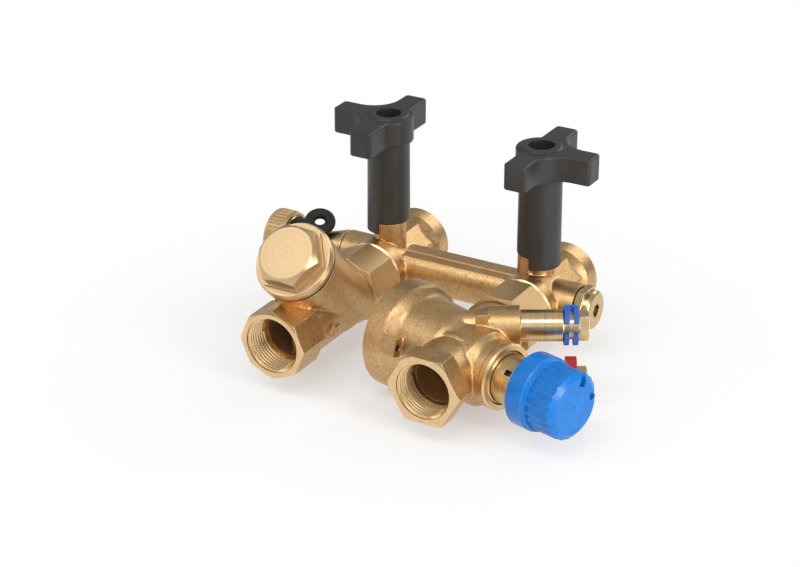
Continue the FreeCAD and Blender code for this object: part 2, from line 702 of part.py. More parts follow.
def flow_arrow():
    """Raised arrow towards the outlet, on the side of the tube."""
    half = [(ARROW_TAIL, ARROW_SHAFT), (ARROW_NECK, ARROW_SHAFT), (ARROW_NECK, ARROW_HALF_WIDTH),
            (ARROW_TIP, 0)]
    outline = half + [(along, -rise) for along, rise in half[2::-1]]
    start = STRAINER_TUBE_RADIUS - ARROW_HALF_WIDTH
    points = [Vec(start, ARROW_HEIGHT + rise, along) for along, rise in outline]
    face = Part.Face(Part.makePolygon(points + points[:1]))
    return face.extrude(Vec(ARROW_HALF_WIDTH + ARROW_RELIEF, 0, 0))


def outlet_rib():
    """Upright rib in the outlet, from its floor to the middle."""
    return block(RIB_THICK, STRAINER_TUBE_RADIUS - EDGE_CHAMFER, RIB_START, RIB_END, 0,
                 (EDGE_CHAMFER - STRAINER_TUBE_RADIUS) / 2)


def strainer_body():
    along = line_frame(LEFT_X)
    rise = leg_frame()
    hex_start = STRAINER_PORT - STRAINER_HEX_LENGTH
    port = nut_blank(8, STRAINER_FLATS, hex_start, STRAINER_PORT, EDGE_CHAMFER, False)
    tube = rod(STRAINER_TUBE_RADIUS, STRAINER_WAIST, hex_start + EDGE_CHAMFER)
    rear = tail(STRAINER_TAIL_CONE, STRAINER_TAIL_RADIUS, STRAINER_WAIST, STRAINER_WAIST_RADIUS)
    leg = turned([(0, -LEG_LOW), (LEG_RADIUS - LEG_LOW, -LEG_LOW), (LEG_RADIUS, 0),
                  (LEG_RADIUS, LEG_COLLAR_LOW), (LEG_COLLAR_RADIUS, LEG_COLLAR_LOW + EDGE_CHAMFER),
                  (LEG_COLLAR_RADIUS, LEG_MOUTH), (0, LEG_MOUTH)])
    solids = [put(piece, along) for piece in (port, tube, rear, flow_arrow())]
    solids.append(put(leg, rise).cut(nut_room(LEFT_X)))
    pipe = rod(PIPE_RADIUS, STRAINER_PORT - PIPE_DEPTH, STRAINER_PORT)
    outlet = rod(STRAINER_BORE, LEG_FRONT, STRAINER_PORT)
    inlet = rod(TAIL_BORE, tail_end(), LEG_FRONT)
    cuts = [put(piece, along) for piece in (pipe, outlet, inlet)]
    leg_bore = put(rod(LEG_BORE, LEG_FLOOR, LEG_MOUTH), rise)
    rib = put(outlet_rib(), along).cut(leg_bore)
    return fused(solids).cut(fused(cuts + [leg_bore])).fuse(rib).removeSplitter()


def strainer_plug():
    """Hexagon plug: threaded spigot, round flange, stepped hexagon with a faced end."""
    low = LEG_MOUTH + PLUG_SEAL_THICK
    flange = low + PLUG_FLANGE
    step = flange + PLUG_STEP
    top = step + PLUG_HEX
    round_part = turned([(0, LEG_MOUTH - PLUG_THREAD), (LEG_BORE - THREAD_PLAY, LEG_MOUTH - PLUG_THREAD),
                         (LEG_BORE - THREAD_PLAY, low), (PLUG_FLANGE_RADIUS - EDGE_CHAMFER, low),
                         (PLUG_FLANGE_RADIUS, low + EDGE_CHAMFER),
                         (PLUG_FLANGE_RADIUS, flange - 2 * EDGE_CHAMFER),
                         (PLUG_FLANGE_RADIUS - EDGE_CHAMFER, flange), (0, flange)])
    step_hex = prism(6, PLUG_STEP_FLATS, flange, step)
    corner = PLUG_FLATS / 2 / math.cos(math.pi / 6)
    outside = corner + FREE
    facing = turned([(0, step), (outside, step), (outside, top - (outside - PLUG_FACE_RADIUS)),
                     (PLUG_FACE_RADIUS, top), (0, top)])
    head = prism(6, PLUG_FLATS, step, top).common(facing)
    hollow = rod(BASKET_RADIUS + FREE, LEG_MOUTH - PLUG_THREAD, low)
    return put(fused([round_part, step_hex, head]).cut(hollow), leg_frame())


def strainer_plug_seal():
    shape = ring(PLUG_FLANGE_RADIUS - 2 * EDGE_CHAMFER, LEG_BORE, LEG_MOUTH, LEG_MOUTH + PLUG_SEAL_THICK)
    return put(shape, leg_frame())


def strainer_basket():
    """Perforated sheet cylinder between the leg's floor and the plug."""
    top = LEG_MOUTH + PLUG_SEAL_THICK
    shape = ring(BASKET_RADIUS, BASKET_RADIUS - BASKET_WALL, LEG_FLOOR, top)
    pitch = (LEG_MOUTH - PLUG_THREAD - LEG_FLOOR) / (BASKET_ROWS + 1)
    holes = []
    for row in range(BASKET_ROWS):
        height = LEG_FLOOR + (row + 1) * pitch
        hole = Part.makeCylinder(BASKET_HOLE_RADIUS, 2 * BASKET_RADIUS, Vec(0, 0, height), X_AXIS)
        holes += around(hole, BASKET_HOLES, (row % 2) * 180.0 / BASKET_HOLES)
    return put(shape.cut(Part.makeCompound(holes)), leg_frame())


# Control valve body

def rounded_step(radius, start, next_radius, end):
    """Points of a rounded step from one radius to the next."""
    steps = 6
    points = []
    for k in range(steps + 1):
        share = (1 - math.cos(math.pi * k / steps)) / 2
        points.append((radius + (next_radius - radius) * share, start + (end - start) * k / steps))
    return points


def spindle_castings():
    """Bell, barrel and neck turned about the spindle axis."""
    profile = [(0, BELL_END), (BELL_RADIUS - EDGE_CHAMFER, BELL_END), (BELL_RADIUS, BELL_END + EDGE_CHAMFER)]
    profile += rounded_step(BELL_RADIUS, BELL_BAND_END, BARREL_RADIUS, BELL_SHOULDER_END)
    profile += rounded_step(BARREL_END_RADIUS, BARREL_END, COLLAR_RADIUS, COLLAR_START)
    profile += rounded_step(COLLAR_RADIUS, COLLAR_END, NECK_WAIST_RADIUS, NECK_WAIST)
    profile += [(NECK_WAIST_RADIUS, NECK_RING_START), (NECK_RING_RADIUS, NECK_RING_START + EDGE_CHAMFER),
                (NECK_RING_RADIUS, NECK_RING_END - EDGE_CHAMFER),
                (NECK_RING_RADIUS - EDGE_CHAMFER, NECK_RING_END), (0, NECK_RING_END)]
    return turned(profile)


def bell_lug():
    """Short cast lug at the foot of the bell, with a sealing hole."""
    inside = MAIN_BORE + FREE
    lug = block(LUG_RADIUS - inside, LUG_WIDTH, LUG_LOW, LUG_HIGH, (LUG_RADIUS + inside) / 2)
    hole = rod(LUG_HOLE, (LUG_LOW + LUG_HIGH) / 2, LUG_HIGH)
    hole.translate(Vec((LUG_RADIUS + BARREL_RADIUS) / 2, 0, 0))
    lug = lug.cut(hole)
    lug.rotate(CENTRE, Z_AXIS, LUG_ANGLE)
    return lug


def test_boss():
    """Boss of a test plug, its root sloping into the body."""
    return turned([(0, TEST_ROOT), (TEST_ROOT_RADIUS, TEST_ROOT), (TEST_SHOULDER_RADIUS, TEST_SHOULDER),
                   (TEST_BOSS_RADIUS, TEST_SHOULDER_END), (TEST_BOSS_RADIUS, TEST_BOSS_END),
                   (0, TEST_BOSS_END)])


def casting_pad():
    """Small square pad on the root of the upper test boss."""
    return block(PAD_SIZE, PAD_SIZE, PAD_LOW, PAD_LOW + PAD_SIZE, -PAD_FRONT, PAD_RISE)


def test_cuts(side):
    """Plug bore of a test boss and its drilled way to the flow."""
    place = test_frame(side)
    start = place.multVec(Vec(0, 0, TEST_BORE_LOW + TEST_DRILL))
    end = Vec(RIGHT_X, start.y, 0)
    return [put(rod(TEST_BORE, TEST_BORE_LOW, TEST_BOSS_END), place), hole_between(start, end, TEST_DRILL)]


def valve_body():
    along = line_frame(RIGHT_X)
    across = spindle_frame()
    hex_start = VALVE_PORT - PORT_HEX_LENGTH
    port = nut_blank(6, PORT_FLATS, hex_start, VALVE_PORT, EDGE_CHAMFER)
    neck = rod(PORT_NECK_RADIUS, SPINDLE_FRONT, hex_start + EDGE_CHAMFER)
    chamber = rod(CHAMBER_BODY_RADIUS, TEST_FRONT - BARREL_RADIUS / 2, SPINDLE_FRONT + BARREL_RADIUS / 2)
    rear = tail(VALVE_TAIL_CONE, VALVE_TAIL_RADIUS, SPINDLE_FRONT, CHAMBER_BODY_RADIUS)
    solids = [put(piece, along) for piece in (port, neck, chamber, rear)]
    solids += [put(piece, across) for piece in (spindle_castings(), bell_lug())]
    solids += [put(test_boss(), test_frame(side)) for side in (1, -1)]
    solids.append(put(casting_pad(), test_frame(1)))
    pipe = rod(PIPE_RADIUS, VALVE_PORT - PIPE_DEPTH, VALVE_PORT)
    outlet = rod(PORT_BORE, SPINDLE_FRONT, VALVE_PORT)
    inlet = rod(TAIL_BORE, tail_end(), SPINDLE_FRONT)
    cuts = [put(piece, along) for piece in (pipe, outlet, inlet)]
    bores = [rod(BELL_BORE, BELL_END, BELL_SHELF), rod(BELL_POCKET_RADIUS, BELL_SHELF, BELL_POCKET_END),
             rod(MAIN_BORE, BELL_POCKET_END, NECK_RING_END)]
    cuts += [put(piece, across) for piece in bores]
    cuts += test_cuts(1) + test_cuts(-1)
    return fused(solids).cut(fused(cuts))


# Control valve inside

def bell_cover():
    """Screwed cover in the bell, with a rim on the diaphragm and two key holes."""
    low = BELL_END + COVER_INSET
    rim = BELL_SHELF - DIAPHRAGM_THICK
    plate = rod(BELL_BORE - THREAD_PLAY, low, low + COVER_THICK)
    lip = ring(BELL_BORE - THREAD_PLAY, BELL_BORE - COVER_RIM, low, rim)
    key = rod(COVER_KEY_RADIUS, low, low + COVER_THICK / 2)
    key.translate(Vec(COVER_KEY_PCD / 2, 0, 0))
    return put(fused([plate, lip]).cut(fused(around(key, 2))), spindle_frame())


def diaphragm():
    shape = ring(BELL_BORE - THREAD_PLAY, DIAPHRAGM_HOLE, BELL_SHELF - DIAPHRAGM_THICK, BELL_SHELF)
    return put(shape, spindle_frame())


def diaphragm_clamp():
    """Disc and stud that clamp the diaphragm to its plate."""
    face = BELL_SHELF - DIAPHRAGM_THICK
    disc = rod(CLAMP_RADIUS, face - CLAMP_THICK, face)
    stud = rod(DIAPHRAGM_HOLE - THREAD_PLAY, face, BELL_SHELF + PLATE_THICK)
    return put(disc.fuse(stud).removeSplitter(), spindle_frame())


def diaphragm_plate():
    return put(ring(PLATE_RADIUS, DIAPHRAGM_HOLE, BELL_SHELF, BELL_SHELF + PLATE_THICK), spindle_frame())


def sleeve_radius():
    """Regulator sleeve, sliding in the cartridge."""
    return MAIN_BORE - RUNNING - CARTRIDGE_WALL - RUNNING


def regulator_sleeve():
    low = BELL_SHELF + PLATE_THICK
    outer = sleeve_radius()
    shape = ring(outer, outer - SLEEVE_WALL, low, SLEEVE_END)
    return put(shape, spindle_frame())


def regulator_spring():
    low = BELL_SHELF + PLATE_THICK
    mean = (sleeve_radius() + MAIN_BORE) / 2
    return put(coil(mean, SPRING_WIRE, low, CARTRIDGE_START, SPRING_TURNS), spindle_frame())


def cartridge():
    """Flow cartridge with windows, in the main bore."""
    outer = MAIN_BORE - RUNNING
    shape = ring(outer, outer - CARTRIDGE_WALL, CARTRIDGE_START, CARTRIDGE_END)
    window = block(outer + FREE, CARTRIDGE_WINDOW_WIDTH, CARTRIDGE_WINDOW_LOW, CARTRIDGE_WINDOW_HIGH,
                   (outer + FREE) / 2)
    return put(shape.cut(fused(around(window, CARTRIDGE_WINDOWS))), spindle_frame())


def bonnet():
    """Brass insert: spigot in the neck, slotted throat, threaded head for an actuator."""
    spigot = MAIN_BORE - THREAD_PLAY
    shape = turned([(0, CARTRIDGE_END), (spigot, CARTRIDGE_END), (spigot, NECK_RING_END - EDGE_CHAMFER),
                    (BONNET_NECK_RADIUS, NECK_RING_END), (BONNET_NECK_RADIUS, BONNET_HEAD_LOW),
                    (BONNET_HEAD_RADIUS - EDGE_CHAMFER, BONNET_HEAD_LOW),
                    (BONNET_HEAD_RADIUS, BONNET_HEAD_LOW + EDGE_CHAMFER),
                    (BONNET_HEAD_RADIUS, BONNET_HEAD_HIGH - EDGE_CHAMFER),
                    (BONNET_HEAD_RADIUS - EDGE_CHAMFER, BONNET_HEAD_HIGH), (0, BONNET_HEAD_HIGH)])
    slot = block(spigot, BONNET_SLOT_WIDTH, BONNET_SLOT_LOW, BONNET_SLOT_HIGH, spigot / 2)
    groove = ring(spigot + FREE, spigot - BONNET_SEAL_DEPTH, BONNET_SEAL_LOW,
                  BONNET_SEAL_LOW + BONNET_SEAL_HEIGHT)
    cuts = [rod(BONNET_LOWER_BORE, CARTRIDGE_END, BONNET_FLOOR_LOW),
            rod(SPINDLE_RADIUS + RUNNING, BONNET_FLOOR_LOW, BONNET_FLOOR_HIGH),
            rod(BONNET_BORE, BONNET_FLOOR_HIGH, BONNET_HEAD_HIGH), groove]
    cuts += around(slot, BONNET_SLOTS, BONNET_SLOT_START)
    return put(shape.cut(fused(cuts)), spindle_frame())


def bonnet_seal():
    spigot = MAIN_BORE - THREAD_PLAY
    shape = ring(spigot + RUNNING, spigot - BONNET_SEAL_DEPTH, BONNET_SEAL_LOW,
                 BONNET_SEAL_LOW + BONNET_SEAL_HEIGHT)
    return put(shape, spindle_frame())


def setting_ring():
    """Dark ring behind the bonnet's slots, turned to preset the flow."""
    return put(ring(BONNET_BORE - RUNNING, SETTING_BORE, SETTING_LOW, SETTING_HIGH), spindle_frame())


def spindle_guide():
    """Screwed guide in the bonnet's head."""
    shape = ring(BONNET_BORE - RUNNING, SPINDLE_RADIUS + RUNNING, GUIDE_LOW, BONNET_HEAD_HIGH)
    return put(shape, spindle_frame())


def spindle():
    plug = rod(SPINDLE_PLUG_RADIUS, SPINDLE_PLUG_LOW, SPINDLE_PLUG_HIGH)
    shaft = rod(SPINDLE_RADIUS, SPINDLE_PLUG_HIGH, SPINDLE_END)
    collar = rod(SPINDLE_COLLAR_RADIUS, SPINDLE_COLLAR_LOW, SPINDLE_COLLAR_HIGH)
    return put(fused([plug, shaft, collar]), spindle_frame())


def spindle_spring():
    shape = coil(SPINDLE_SPRING_RADIUS, SPINDLE_SPRING_WIRE, BONNET_FLOOR_HIGH, SPINDLE_COLLAR_LOW,
                 SPINDLE_SPRING_TURNS)
    return put(shape, spindle_frame())


# Cap

def cap_eye():
    """Sealing eye at the edge of the cap's face: a raised sector between two notches."""
    lug = Part.makeCylinder(EYE_RADIUS, EYE_TOP - EYE_LOW, Vec(0, 0, EYE_LOW), Z_AXIS, EYE_SPAN)
    lug.rotate(CENTRE, Z_AXIS, EYE_ANGLE - EYE_SPAN / 2)
    depth = CAP_GRIP_RADIUS - NOTCH_FLOOR
    notches = []
    for angle in NOTCH_ANGLES:
        notch = block(depth, NOTCH_WIDTH, NOTCH_LOW, CAP_FACE, NOTCH_FLOOR + depth / 2)
        notch.rotate(CENTRE, Z_AXIS, angle)
        notches.append(notch)
    return lug, notches


def control_cap():
    """Hand cap: smooth skirt over the bonnet's head, step, fluted grip, bevelled face, inner boss."""
    outside = turned([(0, CAP_START), (CAP_SKIRT_RADIUS - CAP_EDGE, CAP_START),
                      (CAP_SKIRT_RADIUS, CAP_START + CAP_EDGE), (CAP_SKIRT_RADIUS, CAP_STEP - CAP_EDGE),
                      (CAP_STEP_RADIUS, CAP_STEP), (CAP_STEP_RADIUS, CAP_STEP_END),
                      (CAP_GRIP_RADIUS, CAP_STEP_END), (CAP_GRIP_RADIUS, CAP_GRIP_END),
                      (CAP_FACE_RADIUS, CAP_FACE), (0, CAP_FACE)])
    flute = rod(CAP_FLUTE_RADIUS, CAP_STEP_END, CAP_FACE)
    flute.translate(Vec(CAP_GRIP_RADIUS + CAP_FLUTE_RADIUS - CAP_FLUTE_DEPTH, 0, 0))
    grip = outside.cut(Part.makeCompound(around(flute, CAP_FLUTES)))
    pip = rod(CAP_PIP_RADIUS, CAP_FACE, CAP_FACE + CAP_PIP_HEIGHT)
    lug, notches = cap_eye()
    inside = turned([(0, CAP_START), (CAP_SKIRT_BORE, CAP_START), (CAP_SKIRT_BORE, CAP_STEP),
                     (CAP_GRIP_BORE, CAP_STEP + CAP_SKIRT_BORE - CAP_GRIP_BORE), (CAP_GRIP_BORE, CAP_INSIDE),
                     (CAP_BOSS_RADIUS, CAP_INSIDE), (CAP_BOSS_RADIUS, SPINDLE_END), (0, SPINDLE_END)])
    return put(fused([grip, pip, lug]).cut(fused([inside] + notches)), spindle_frame())


# Test plugs

def test_plug(side):
    """Turned test plug: spigot in the boss, smooth tube, strap groove, threaded stub."""
    shape = turned([(0, TEST_BORE_LOW + FREE), (TEST_BORE - THREAD_PLAY, TEST_BORE_LOW + FREE),
                    (TEST_BORE - THREAD_PLAY, TEST_BOSS_END),
                    (TEST_TUBE_RADIUS - EDGE_CHAMFER / 2, TEST_BOSS_END),
                    (TEST_TUBE_RADIUS, TEST_BOSS_END + EDGE_CHAMFER / 2),
                    (TEST_TUBE_RADIUS, TEST_TUBE_END - EDGE_CHAMFER / 2),
                    (TEST_TUBE_RADIUS - EDGE_CHAMFER / 2, TEST_TUBE_END), (TEST_GROOVE_RADIUS, TEST_TUBE_END),
                    (TEST_GROOVE_RADIUS, TEST_GROOVE_END), (TEST_STUB_RADIUS, TEST_GROOVE_END),
                    (TEST_STUB_RADIUS, TEST_STUB_END), (0, TEST_STUB_END)])
    core = rod(TEST_CORE_RADIUS, TEST_CORE_LOW, TEST_STUB_END)
    way = rod(TEST_HOLE, TEST_BORE_LOW, TEST_CORE_LOW)
    return put(shape.cut(fused([core, way])), test_frame(side))


def test_core(side):
    """Rubber core that closes round a test needle."""
    return put(rod(TEST_CORE_RADIUS, TEST_CORE_LOW, TEST_STUB_END), test_frame(side))


def test_cap(side):
    """Hexagon cap with a groove for the strap, screwed on the plug's stub."""
    collar = rod(TEST_GROOVE_RADIUS, TEST_GROOVE_END, TEST_CAP_GROOVE_END)
    head = nut_blank(6, TEST_CAP_FLATS, TEST_CAP_GROOVE_END, TEST_CAP_END, TEST_CAP_CHAMFER)
    inside = rod(TEST_STUB_RADIUS + THREAD_PLAY, TEST_GROOVE_END, TEST_STUB_END + FREE)
    return put(collar.fuse(head).removeSplitter().cut(inside), test_frame(side))


def test_strap(side, roll):
    """Coloured strap: an open ring in the plug's groove, one in the cap's, and the bridge between them."""
    bore = TEST_GROOVE_RADIUS + STRAP_GAP
    first = TEST_TUBE_END + STRAP_GAP
    last = TEST_CAP_GROOVE_END - STRAP_GAP
    rings = [ring(STRAP_RADIUS, bore, low, low + STRAP_RING) for low in (first, last - STRAP_RING)]
    mouth = Part.makeCylinder(STRAP_RADIUS + FREE, last - first, Vec(0, 0, first), Z_AXIS, STRAP_MOUTH)
    mouth.rotate(CENTRE, Z_AXIS, 90 + STRAP_MOUTH_ANGLE - STRAP_MOUTH / 2)
    bridge = block(STRAP_BRIDGE_WIDTH, STRAP_BRIDGE_REACH, first + STRAP_RING / 2, last,
                   0, STRAP_BRIDGE_REACH / 2)
    bridge = bridge.cut(rod(bore, first, last))
    shape = fused([piece.cut(mouth) for piece in rings] + [bridge])
    shape.rotate(CENTRE, Z_AXIS, roll)
    return put(shape, test_frame(side))


# Ends of the bar

def end_seal(line_x, outward):
    return put(ring(END_SEAL_RADIUS, BOSS_THREAD_RADIUS, 0, END_SEAL_THICK), boss_frame(line_x, outward))


def rounded_end(radius, low, high, rounding):
    """Round bar whose far edge is rounded; the outline's last stretch is an arc."""
    corner = Vec(radius - rounding, 0, high - rounding)
    half = rounding * math.sqrt(0.5)
    edges = [Part.makeLine(Vec(0, 0, low), Vec(radius, 0, low)),
             Part.makeLine(Vec(radius, 0, low), Vec(radius, 0, high - rounding)),
             Part.Arc(Vec(radius, 0, high - rounding), corner + Vec(half, 0, half),
                      Vec(radius - rounding, 0, high)).toShape(),
             Part.makeLine(Vec(radius - rounding, 0, high), Vec(0, 0, high)),
             Part.makeLine(Vec(0, 0, high), Vec(0, 0, low))]
    return Part.Face(Part.Wire(edges)).revolve(CENTRE, Z_AXIS, 360)


def vent_plug():
    """Screwed plug: thread in the boss, hexagon, round button with a key socket."""
    hex_end = END_SEAL_THICK + VENT_HEX
    top = hex_end + VENT_BUTTON
    thread = rod(BOSS_THREAD_RADIUS - THREAD_PLAY, FREE - BOSS_THREAD_DEPTH, END_SEAL_THICK)
    head = nut_blank(6, VENT_FLATS, END_SEAL_THICK, hex_end, EDGE_CHAMFER / 2)
    button = rounded_end(VENT_BUTTON_RADIUS, hex_end, top, VENT_ROUND)
    key = prism(6, VENT_KEY_FLATS, top - VENT_KEY_DEPTH, top)
    return put(fused([thread, head, button]).cut(key), boss_frame(RIGHT_X, 1))


def drain_body():
    """Drain nipple: thread in the boss, cone to a neck, hose thread at the far end, bored through."""
    thread_end = DRAIN_NECK + DRAIN_THREAD
    shape = turned([(0, FREE - BOSS_THREAD_DEPTH),
                    (BOSS_THREAD_RADIUS - THREAD_PLAY, FREE - BOSS_THREAD_DEPTH),
                    (BOSS_THREAD_RADIUS - THREAD_PLAY, END_SEAL_THICK), (DRAIN_FLANGE_RADIUS, END_SEAL_THICK),
                    (DRAIN_FLANGE_RADIUS, END_SEAL_THICK + 2 * EDGE_CHAMFER), (DRAIN_NECK_RADIUS, DRAIN_CONE),
                    (DRAIN_NECK_RADIUS, DRAIN_NECK), (DRAIN_THREAD_RADIUS - EDGE_CHAMFER, DRAIN_NECK),
                    (DRAIN_THREAD_RADIUS, DRAIN_NECK + EDGE_CHAMFER),
                    (DRAIN_THREAD_RADIUS, thread_end - EDGE_CHAMFER),
                    (DRAIN_THREAD_RADIUS - EDGE_CHAMFER, thread_end), (0, thread_end)])
    return put(shape.cut(rod(DRAIN_BORE, -BOSS_THREAD_DEPTH, thread_end)), boss_frame(LEFT_X, -1))


def drain_cap_inside():
    """Inner face of the drain cap: its seal lies between this and the nipple's end."""
    return DRAIN_NECK + DRAIN_THREAD + DRAIN_SEAL_THICK


def drain_cap():
    """Knurled cap with a rounded end and a plain rim."""
    top = DRAIN_CAP_START + DRAIN_CAP_LENGTH
    shape = rounded_end(DRAIN_CAP_RADIUS, DRAIN_CAP_START, top, DRAIN_CAP_ROUND)
    rim_cut = ring(DRAIN_CAP_RADIUS + FREE, DRAIN_CAP_RIM_RADIUS, DRAIN_CAP_START,
                   DRAIN_CAP_START + DRAIN_CAP_RIM)
    flute = rod(DRAIN_FLUTE_RADIUS, DRAIN_CAP_START, top - DRAIN_CAP_ROUND)
    flute.translate(Vec(DRAIN_CAP_RADIUS + DRAIN_FLUTE_RADIUS / 3, 0, 0))
    inside = rod(DRAIN_THREAD_RADIUS + FREE, DRAIN_CAP_START, drain_cap_inside())
    shape = shape.cut(rim_cut.fuse(inside)).cut(Part.makeCompound(around(flute, DRAIN_FLUTES)))
    return put(shape, boss_frame(LEFT_X, -1))


def drain_cap_seal():
    low = DRAIN_NECK + DRAIN_THREAD
    return put(ring(DRAIN_THREAD_RADIUS - EDGE_CHAMFER, DRAIN_BORE, low, low + DRAIN_SEAL_THICK),
               boss_frame(LEFT_X, -1))


def drain_strap():
    """Rubber strap: a ring on the nipple's neck and the loop that stands beside it on a tab."""
    end = DRAIN_CAP_START - STRAP_NECK_SETBACK
    start = end - STRAP_NECK_LENGTH
    band = ring(STRAP_NECK_RADIUS, DRAIN_NECK_RADIUS + RUNNING, start, end)
    lean = math.radians(LOOP_TILT)
    turn = math.radians(LOOP_TURN)
    axis = Vec(math.sin(lean) * math.cos(turn), math.cos(lean), -math.sin(lean) * math.sin(turn))
    middle = Vec(LOOP_FRONT, LOOP_HEIGHT, LOOP_REACH)
    loop = Part.makeTorus(LOOP_RADIUS, LOOP_TUBE, middle, axis)
    tab_low = (DRAIN_NECK_RADIUS + STRAP_NECK_RADIUS) / 2
    tab = Part.makeBox(LOOP_TAB_WIDTH, LOOP_TAB_TOP - tab_low, end - LOOP_REACH - LOOP_RADIUS,
                       Vec(LOOP_FRONT - LOOP_TAB_WIDTH / 2, tab_low, LOOP_REACH + LOOP_RADIUS))
    tab = tab.cut(rod(DRAIN_NECK_RADIUS + FREE, LOOP_REACH, end))
    return put(fused([band, loop, tab]), boss_frame(LEFT_X, -1))


def parts():
    """All pieces of the set by name."""
    pieces = {"bypass_body": bypass_body()}
    for side, line_x, outward, flat_up in (("left", LEFT_X, -1, False), ("right", RIGHT_X, 1, True)):
        pieces[side + "_ball"] = ball(line_x, outward)
        pieces[side + "_front_seat"] = seat(line_x, 1)
        pieces[side + "_rear_seat"] = seat(line_x, -1)
        pieces[side + "_seat_retainer"] = seat_retainer(line_x)
        pieces[side + "_stem"] = stem(line_x, outward)
        pieces[side + "_stem_seal"] = stem_seal(line_x, outward)
        pieces[side + "_gland_nut"] = gland_nut(line_x, outward)
        pieces[side + "_handle"] = handle(line_x, outward)
        pieces[side + "_handle_screw"] = handle_screw(line_x, outward)
        pieces[side + "_union_nut"] = union_nut(line_x, flat_up)
        pieces[side + "_union_gasket"] = union_gasket(line_x)
        pieces[side + "_snap_ring"] = snap_ring(line_x)
    pieces["strainer_body"] = strainer_body()
    pieces["strainer_plug"] = strainer_plug()
    pieces["strainer_plug_seal"] = strainer_plug_seal()
    pieces["strainer_basket"] = strainer_basket()
    for build in (valve_body, bell_cover, diaphragm, diaphragm_clamp, diaphragm_plate, regulator_sleeve,
                  regulator_spring, cartridge, bonnet, bonnet_seal, setting_ring, spindle_guide, spindle,
                  spindle_spring, control_cap):
        pieces[build.__name__] = build()
    for colour, side, strap_roll in (("blue", 1, -75.0), ("red", -1, 0.0)):
        pieces[colour + "_test_plug"] = test_plug(side)
        pieces[colour + "_test_core"] = test_core(side)
        pieces[colour + "_test_cap"] = test_cap(side)
        pieces[colour + "_test_strap"] = test_strap(side, strap_roll)
    pieces["vent_plug"] = vent_plug()
    pieces["vent_plug_seal"] = end_seal(RIGHT_X, 1)
    pieces["drain_body"] = drain_body()
    pieces["drain_body_seal"] = end_seal(LEFT_X, -1)
    pieces["drain_cap"] = drain_cap()
    pieces["drain_cap_seal"] = drain_cap_seal()
    pieces["drain_strap"] = drain_strap()
    return pieces


def main():
    os.makedirs("parts", exist_ok=True)
    for name, shape in parts().items():
        solids = shape.Solids
        if not shape.isValid() or not solids:
            raise ValueError(name + " is not a valid solid")
        whole = solids[0] if len(solids) == 1 else Part.makeCompound(solids)
        whole.exportStep(os.path.join("parts", name + ".step"))
        print(name, len(solids), round(whole.Volume, 1))


main()
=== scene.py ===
import bmesh
import bpy
import json
import math
import numpy as np
from mathutils import Matrix, Vector

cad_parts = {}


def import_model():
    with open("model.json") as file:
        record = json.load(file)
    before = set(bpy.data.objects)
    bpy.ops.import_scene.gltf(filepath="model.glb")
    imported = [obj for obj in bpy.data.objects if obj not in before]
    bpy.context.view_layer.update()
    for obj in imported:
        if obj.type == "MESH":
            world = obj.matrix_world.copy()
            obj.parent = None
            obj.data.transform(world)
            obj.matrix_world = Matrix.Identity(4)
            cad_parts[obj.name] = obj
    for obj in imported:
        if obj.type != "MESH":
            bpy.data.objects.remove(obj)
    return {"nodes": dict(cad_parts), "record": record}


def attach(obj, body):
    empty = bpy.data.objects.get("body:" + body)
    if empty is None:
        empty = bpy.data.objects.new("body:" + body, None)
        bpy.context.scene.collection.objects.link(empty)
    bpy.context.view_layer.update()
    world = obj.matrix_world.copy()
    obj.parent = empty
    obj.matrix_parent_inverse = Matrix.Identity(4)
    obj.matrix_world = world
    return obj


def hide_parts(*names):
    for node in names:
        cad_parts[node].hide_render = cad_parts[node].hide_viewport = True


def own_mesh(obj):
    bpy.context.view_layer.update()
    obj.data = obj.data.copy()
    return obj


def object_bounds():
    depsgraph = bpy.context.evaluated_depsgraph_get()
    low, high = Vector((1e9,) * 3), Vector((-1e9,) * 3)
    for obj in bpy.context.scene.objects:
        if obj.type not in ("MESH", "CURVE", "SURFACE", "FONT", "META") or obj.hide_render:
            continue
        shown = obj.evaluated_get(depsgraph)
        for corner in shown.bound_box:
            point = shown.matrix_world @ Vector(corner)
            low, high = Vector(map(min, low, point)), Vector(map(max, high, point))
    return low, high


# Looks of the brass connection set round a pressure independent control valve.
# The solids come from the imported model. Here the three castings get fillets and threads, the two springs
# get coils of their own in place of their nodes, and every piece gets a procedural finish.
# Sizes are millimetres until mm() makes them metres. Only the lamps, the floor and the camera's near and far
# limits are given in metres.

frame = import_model()
cad_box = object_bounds()
nodes = frame["nodes"]

# Places of the main axes, in the part's own frame
LEFT_X = -80.0
RIGHT_X = 0.0
BAR_Y = -30.5
LINE_AXIS = Vector((0, -1, 0))
SPINDLE_ORIGIN = Vector((RIGHT_X, -103.3, 0))
SPINDLE_LEAN = math.radians(15)
SPINDLE_AXIS = Vector((math.cos(SPINDLE_LEAN), -math.sin(SPINDLE_LEAN), 0))
LEG_ORIGIN = Vector((LEFT_X, -81.2, 0))
LEG_LEAN = math.radians(45)
LEG_AXIS = Vector((0, -math.cos(LEG_LEAN), math.sin(LEG_LEAN)))
TEST_FRONT_Y = -97.9
TEST_HEIGHT = 13.85
TEST_LEAN = math.radians(30)
TEST_AXIS = Vector((math.cos(TEST_LEAN), math.sin(TEST_LEAN), 0))
TEST_ORIGINS = {"blue": Vector((RIGHT_X, TEST_FRONT_Y, TEST_HEIGHT)),
                "red": Vector((RIGHT_X, TEST_FRONT_Y, -TEST_HEIGHT))}
LINES = {"left": Vector((LEFT_X, BAR_Y, 0)), "right": Vector((RIGHT_X, BAR_Y, 0))}
BAR_AXIS = Vector((1, 0, 0))
STEM_AXIS = Vector((0, 0, 1))

